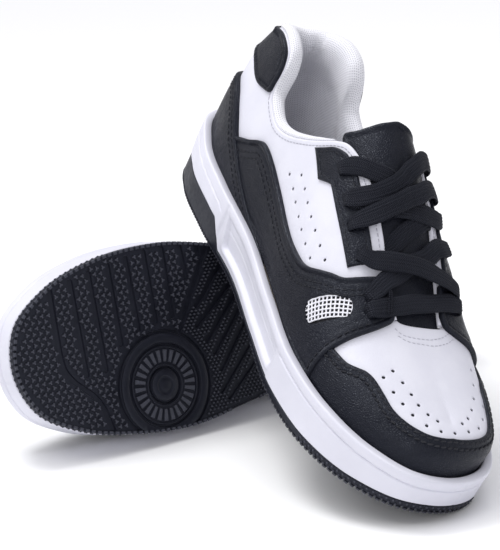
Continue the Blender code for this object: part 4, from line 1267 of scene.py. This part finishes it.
FIELD, GROOVE = 1.15, 1.0            # the tread's floor above the ground, and how much deeper a groove is
DISC, DISC_RADIUS = (199.6, 24.0), 28.0
GROOVE_HALF, GROOVE_WALL = 1.55, 0.35
GROOVES = (
    ((258, -33), (257.5, -20), (257, -8), (256.5, 0), (255, 8), (251, 14), (246, 18.6), (240.5, 23.6),
     (236.5, 30.5), (233, 42)),
    ((246.5, -36), (243.9, 11.9)), ((236, -39), (232.8, 10.8)), ((224.6, -41.3), (222.5, -0.7)),
    ((213.6, -43.6), (211.2, -6.4)), ((202.4, -45.6), (200.2, -9)), ((191.1, -45.8), (189.7, -10.5)),
    ((179.8, -45.1), (178.2, -28.9)), ((169.4, -44.3), (168.7, -38.5)),
    ((163.5, -42.5), (186.6, -2.4)),
    ((146, -43.5), (174.2, -13.4)), ((140, -31.5), (175.0, -3.4)), ((137, -29), (170.1, 5.3)),
    ((134, -23.5), (165.9, 12.1)), ((131, -17.5), (163.2, 21.3)), ((128, -4.5), (164.5, 32.6)),
    ((122, 3.5), (160.3, 36.7)), ((118, 18.5), (133, 31.5)),
    ((99, -33), (106, 0), (99, 31)), ((87, -34), (94, 0), (87, 31)), ((75, -34), (82, 0), (75, 31)),
    ((63, -34), (70, 0), (63, 31)), ((51, -34), (58, 0), (51, 31)), ((39, -32.5), (46, 0), (39, 30)),
    ((27, -31), (34, 0), (27, 28.5)), ((16, -26), (22, 0), (16, 23)),
)


def plan_line(knots, spacing=1.5):
    """Plan points about spacing mm apart on a smooth line through the knots."""
    fine = smooth_line(knots, 12)
    run = running_length(fine)
    return sample(np.linspace(0, run[-1], max(3, int(run[-1] / spacing) + 1)), run, fine)


def groove_loop(path, radius):
    """A closed loop radius away from an open plan line, with round ends."""
    travel = unit(np.gradient(path, axis=0))
    left = np.column_stack([-travel[:, 1], travel[:, 0]])
    turn = np.linspace(0, math.pi, 8)[1:-1]
    end = path[-1] + radius * (np.cos(turn)[:, None] * left[-1] + np.sin(turn)[:, None] * travel[-1])
    start = path[0] - radius * (np.cos(turn)[:, None] * left[0] + np.sin(turn)[:, None] * travel[0])
    return np.vstack([path + left * radius, end, (path - left * radius)[::-1], start])


def circle(radius, count):
    angle = 2 * np.pi * np.arange(count) / count
    return np.array(DISC) + radius * np.column_stack([np.cos(angle), np.sin(angle)])


GROOVE_LINES = [plan_line(knots) for knots in GROOVES]
DISC_RINGS = ((DISC_RADIUS, 0.9), (21.0, 0.8), (9.2, 0.6))      # circular grooves: radius and half width


def groove_distance(points):
    """How far plan points are outside the nearest groove's middle line, less its half width."""
    best = np.full(len(points), 1e9)
    for path in GROOVE_LINES:
        for a, b in zip(path[:-1], path[1:]):
            along = np.clip(((points - a) @ (b - a)) / ((b - a) @ (b - a)), 0, 1)[:, None]
            best = np.minimum(best, np.linalg.norm(points - a - along * (b - a), axis=1) - GROOVE_HALF)
    # Nothing is cut inside the disc but its own rings.
    reach = np.linalg.norm(points - DISC, axis=1)
    best = np.where(reach < DISC_RADIUS - 0.5, 1e9, best)
    for radius, half in DISC_RINGS:
        best = np.minimum(best, np.abs(reach - radius) - half)
    return best


def tread_z(points):
    depth = np.clip(-groove_distance(points) / GROOVE_WALL, 0, 1) * GROOVE
    reach = np.linalg.norm(points - DISC, axis=1)
    disc = -0.55 * np.clip((DISC_RADIUS - 1.2 - reach) / 0.4, 0, 1) * np.clip((reach - 19.4) / 0.4, 0, 1)
    return sole_bottom(points[:, 0]) + FIELD + depth + disc


def tread_plate():
    count = 300
    edge = outline_inset(np.arange(count) / count, 1.75)
    loops = [edge]
    for path in GROOVE_LINES:
        loops += [groove_loop(path, GROOVE_HALF), groove_loop(path, GROOVE_HALF - GROOVE_WALL)]
    for radius, half in DISC_RINGS + ((DISC_RADIUS - 1.4, 0.2), (19.6, 0.2)):
        loops += [circle(radius + k, 96) for k in (-half, -half + GROOVE_WALL, half - GROOVE_WALL, half)]
    grid = np.stack(np.meshgrid(np.arange(2, 280, 4.0), np.arange(-48, 48, 4.0)), -1).reshape(-1, 2)
    plane, faces, _ = triangles(loops, [grid[inside(grid, edge)]], 1e-4)
    faces = faces[inside(plane[faces].mean(1), edge)]
    used, faces = np.unique(faces, return_inverse=True)
    faces = faces.reshape(-1, 3)
    plane = plane[used]
    count = len(plane)
    low = np.column_stack([plane, tread_z(plane)])
    high = np.column_stack([plane, sole_bottom(plane[:, 0]) + FIELD + GROOVE + 0.6])
    sides = np.concatenate([faces[:, [0, 1]], faces[:, [1, 2]], faces[:, [2, 0]]])
    keys = {tuple(s) for s in sides.tolist()}
    rim = np.array([s for s in sides.tolist() if (s[1], s[0]) not in keys])
    walls = np.column_stack([rim[:, 0], rim[:, 1], rim[:, 1] + count, rim[:, 0] + count])
    return np.vstack([low, high]), [faces[:, ::-1], faces + count, walls]


def prism(shape, height, shrink):
    """A closed block with a flat outline, tapering to its tip at z = -height."""
    shape = np.array(shape, float)
    n = len(shape)
    root, tip = np.full(n, 0.25), np.full(n, -height)
    points = np.vstack([np.column_stack([shape, root]), np.column_stack([shape * shrink, tip])])
    a, b = np.arange(n), (np.arange(n) + 1) % n
    return points, [np.stack([b, a, a + n, b + n], -1), a[None], (a + n)[None, ::-1]]


def studs(shell, points, faces, origins, axes):
    """Scatters studs whose texture marks them for a painted highlight, paler towards their tips."""
    shell.scatter(points, faces, origins, axes)
    flat = shell.points[-1].copy()
    tip = points[:, 2].min()
    flat[:, 2] = TIP_HIGHLIGHT_MARK + np.tile(np.where(points[:, 2] < tip + 0.01, 1.0, 0.0), len(origins))
    shell.flat[-1] = flat


def star(length, half):
    """The outline of a stud with three arms."""
    out = []
    for arm in range(3):
        angle = math.pi / 2 + arm * 2 * math.pi / 3
        c, s = math.cos(angle), math.sin(angle)
        out += [(length * c + half * s, length * s - half * c), (length * c - half * s, length * s + half * c)]
        inner = angle + math.pi / 3
        out.append((half * 1.6 * math.cos(inner), half * 1.6 * math.sin(inner)))
    return out


def divider_x(y):
    """The line across the sole between the star studs in front and the small diamonds behind."""
    return np.where(y < -0.3, 163.5 + (y + 40.9) * 0.569, 186.6 + (y + 0.3) * 0.08)


def upright(turn):
    """The axes of studs that stand upright, each turned by its own angle."""
    c, s, o = np.cos(turn), np.sin(turn), np.zeros(len(turn))
    return np.stack([np.stack([c, s, o], 1), np.stack([-s, c, o], 1), np.stack([o, o, o + 1], 1)], 1)


def build_outsole():
    shell = Shell()
    count = 480
    foot = ((1.7, 2.5), (1.7, 1.0), (1.2, 0.8), (0.7, 1.0), (0.45, 1.5), (0.35, 2.6))      # inset and height
    stack(shell, [ring(inset, raised(sole_bottom, lift), count) for inset, lift in foot]
          + [ring(0.35, raised(outsole_top, -0.4), count), ring(0.7, outsole_top, count)])
    points, faces = tread_plate()
    shell.add(points, faces)
    edge = outline_inset(np.arange(300) / 300, 3.2)

    def field(pitch_x, pitch_y, wanted):
        """Places in rows over the sole, every other row half a pitch along, and which rows are odd."""
        along, rows = np.arange(0, 284, pitch_x), np.arange(-52, 52, pitch_y)
        odd = np.repeat(np.arange(len(rows)) % 2, len(along))
        found = np.column_stack([np.tile(along, len(rows)) + odd * pitch_x / 2, np.repeat(rows, len(along))])
        reach = np.linalg.norm(found - DISC, axis=1)
        patch = (found[:, 0] > 189) & (found[:, 0] < 217) & (found[:, 1] > 24)
        good = inside(found, edge) & (reach > DISC_RADIUS + 1.8) & ~patch & wanted(found)
        found, odd = found[good], odd[good]
        keep = groove_distance(found) > 0.5
        return found[keep], odd[keep]

    front, odd = field(3.45, 2.8, lambda p: p[:, 0] > divider_x(p[:, 1]) + 1)
    origins = np.column_stack([front, sole_bottom(front[:, 0]) + FIELD])
    points, faces = prism(star(1.36, 0.34), FIELD - 0.05, 0.76)
    studs(shell, points, faces, origins, upright(np.where(odd == 1, math.pi / 2 + math.pi, math.pi / 2)))
    rear, _ = field(2.5, 1.7, lambda p: p[:, 0] < divider_x(p[:, 1]) - 1)
    origins = np.column_stack([rear, sole_bottom(rear[:, 0]) + FIELD])
    points, faces = prism(((0.95, 0), (0, 0.72), (-0.95, 0), (0, -0.72)), FIELD - 0.05, 0.6)
    studs(shell, points, faces, origins, upright(np.zeros(len(origins))))
    add_rim(shell)
    add_disc(shell)
    place_pieces(shell, "outsole", "black_rubber", replaced=("outsole",), angle=35)


def add_rim(shell):
    """Teeth along the sole's lower edge, and two rows of studs up the toe."""
    perimeter = 700.0

    def edge_studs(u, inset, height, shape, tall, shrink, under):
        """Studs with their tips down, under the edge, or outwards, up the wall."""
        spot = outline_inset(u, inset)
        outwards = spot - outline_inset(u, inset + 1)
        axes = np.zeros((len(u), 3, 3))
        axes[:, 0, 0], axes[:, 0, 1] = -outwards[:, 1], outwards[:, 0]
        if under:
            axes[:, 1, :2], axes[:, 2, 2] = outwards, 1
        else:
            axes[:, 1, 2], axes[:, 2, :2] = 1, -outwards
        axes[:, 0] *= np.sign(np.linalg.det(axes))[:, None]
        points, faces = prism(shape, tall, shrink)
        studs(shell, points, faces, np.column_stack([spot, sole_bottom(spot[:, 0]) + height]), axes)

    for start, end, pitch, size in ((0.0, 0.245, 2.6, 0.95), (0.275, 0.725, 3.6, 1.25), (0.755, 1.0, 2.6, 0.95)):
        tooth = ((size, -0.7), (size, 1.1), (-size, 1.1), (-size, -0.7))
        edge_studs(np.arange(start, end, pitch / perimeter), 1.25, 1.1, tooth, 1.0, 0.7, under=True)
    diamond = ((1.0, 0), (0, 0.8), (-1.0, 0), (0, -0.8))
    for row, height in enumerate((2.0, 3.6)):
        u = np.arange(0.383 + 0.0025 * row, 0.62, 3.5 / perimeter)
        edge_studs(u, 0.45, height, diamond, 0.7, 0.5, under=False)


def add_disc(shell):
    """The turning disc under the ball of the foot: a ring of radial slots round a plain button."""
    around = 96
    angle = 2 * np.pi * np.arange(around) / around
    radial = np.column_stack([np.cos(angle), np.sin(angle), np.zeros(around)])
    centre = np.array([*DISC, float(sole_bottom(DISC[0])) + FIELD])

    side = outline_inset(np.linspace(0.55, 0.95, 200), 1.7)
    side = side[np.argsort(side[:, 0])]

    def turned(profile):
        grid = np.stack([centre + radial * r - (0, 0, h) for r, h in profile], 1)
        reach = np.interp(grid[..., 0], *side.T)
        grid[..., 1] = np.minimum(grid[..., 1], reach + 0.03 * (grid[..., 1] - reach))
        loft(shell, np.vstack([grid, grid[:1]])[:, ::-1], caps=False)

    turned(((22.4, -0.3), (22.4, 0.75), (22.8, 1.0), (26.1, 1.0), (26.6, 0.75), (26.6, -0.3)))
    turned(((19.4, -0.3), (19.4, 0.55), (19.6, 0.7), (20.0, 0.7), (20.2, 0.55), (20.2, -0.3)))
    turned(((10.2, -0.3), (10.2, 0.45), (10.4, 0.6), (10.8, 0.6), (11.0, 0.45), (11.0, -0.3)))
    turned(((0.05, -0.3), (0.05, 0.9), (2.6, 0.9), (3.1, 0.6), (4.6, 0.6), (5.2, 0.95), (7.2, 0.75), (7.9, 0.4),
            (7.9, -0.3)))
    slots = 26
    turn = 2 * np.pi * np.arange(slots) / slots
    axes = upright(turn)
    points, faces = prism(((3.6, -1.35), (3.6, 1.35), (-3.3, 0.85), (-3.3, -0.85)), 0.75, 0.82)
    studs(shell, points, faces, centre + 15.2 * axes[:, 0], axes)


# ---------------------------------------------------------------- stage

CAMERA_PLACE = (-0.6428, -0.8089, 0.3533)
CAMERA_RIGHT, CAMERA_FORWARD = (0.792, -0.610, -0.0264), (0.5851, 0.7705, -0.253)
CAMERA_LENS = 136.15
FLOOR_HEIGHT = -0.0013           # just under the lowest stud, in m
OVERHEAD_POWER, OVERHEAD_SPREAD, OVERHEAD_TURN = 1.35, 60.0, (-8.0, -16.0, 0.0)      # W/m2 and degrees


def build_stage():
    right, forward = Vector(CAMERA_RIGHT).normalized(), Vector(CAMERA_FORWARD).normalized()
    up = right.cross(forward).normalized()
    camera = bpy.data.objects.new("camera", bpy.data.cameras.new("camera"))
    camera.data.lens, camera.data.sensor_width = CAMERA_LENS, 36.0
    turn = Matrix((right, up, -forward)).transposed()
    camera.matrix_world = Matrix.Translation(CAMERA_PLACE) @ turn.to_4x4()
    bpy.context.scene.collection.objects.link(camera)
    bpy.context.scene.camera = camera

    def lamp(name, place, target, size, power):
        light = bpy.data.objects.new(name, bpy.data.lights.new(name, "AREA"))
        light.data.shape, light.data.size, light.data.energy = "DISK", size, power
        light.location = place
        light.rotation_euler = (Vector(target) - Vector(place)).to_track_quat("-Z", "Y").to_euler()
        bpy.context.scene.collection.objects.link(light)

    lamp("key_light", (-0.25, 0.35, 1.2), (0, 0, 0.1), 0.45, 6.0)
    lamp("front_light", (-1.3, -1.1, 0.7), (0, 0.05, 0.08), 0.6, 4.0)
    sky = bpy.data.objects.new("overhead_light", bpy.data.lights.new("overhead_light", "SUN"))
    sky.data.energy, sky.data.angle = OVERHEAD_POWER, math.radians(OVERHEAD_SPREAD)
    sky.rotation_euler = [math.radians(angle) for angle in OVERHEAD_TURN]
    bpy.context.scene.collection.objects.link(sky)
    world = bpy.data.worlds.new("studio")
    world.use_nodes = True
    background = world.node_tree.nodes["Background"].inputs
    background["Color"].default_value, background["Strength"].default_value = (0.97, 0.97, 1.0, 1), 0.60
    bpy.context.scene.world = world
    bpy.context.scene.view_settings.view_transform = "Standard"
    floor = bpy.data.meshes.new("floor")
    floor.from_pydata([(-6, -6, 0), (6, -6, 0), (6, 6, 0), (-6, 6, 0)], [], [(0, 1, 2, 3)])
    plain = Maker("studio_floor", (0.95, 0.95, 0.96), 0.9, Specular_IOR_Level=0.1)
    floor.materials.append(plain.material)
    ground = bpy.data.objects.new("floor", floor)
    ground.location.z = FLOOR_HEIGHT
    bpy.context.scene.collection.objects.link(ground)


def finish_hidden_nodes():
    """The stiffeners inside keep their CAD shape and get the fibre board's look."""
    for side in SHOES:
        for node in ("insole_board", "heel_counter", "toe_puff"):
            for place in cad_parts[f"{side}_{node}"].material_slots:
                place.material = SHADERS["fibre"]


def main():
    build_quarters()
    build_vamp()
    build_toe_cap()
    build_overlays()
    build_foxing()
    build_heel_seam()
    build_heel_tab()
    build_eyestays()
    build_nets()
    build_collar()
    build_linings()
    build_tongue()
    build_sockliner()
    build_laces()
    build_stitching()
    build_midsole()
    build_outsole()
    finish_hidden_nodes()
    build_stage()


main()
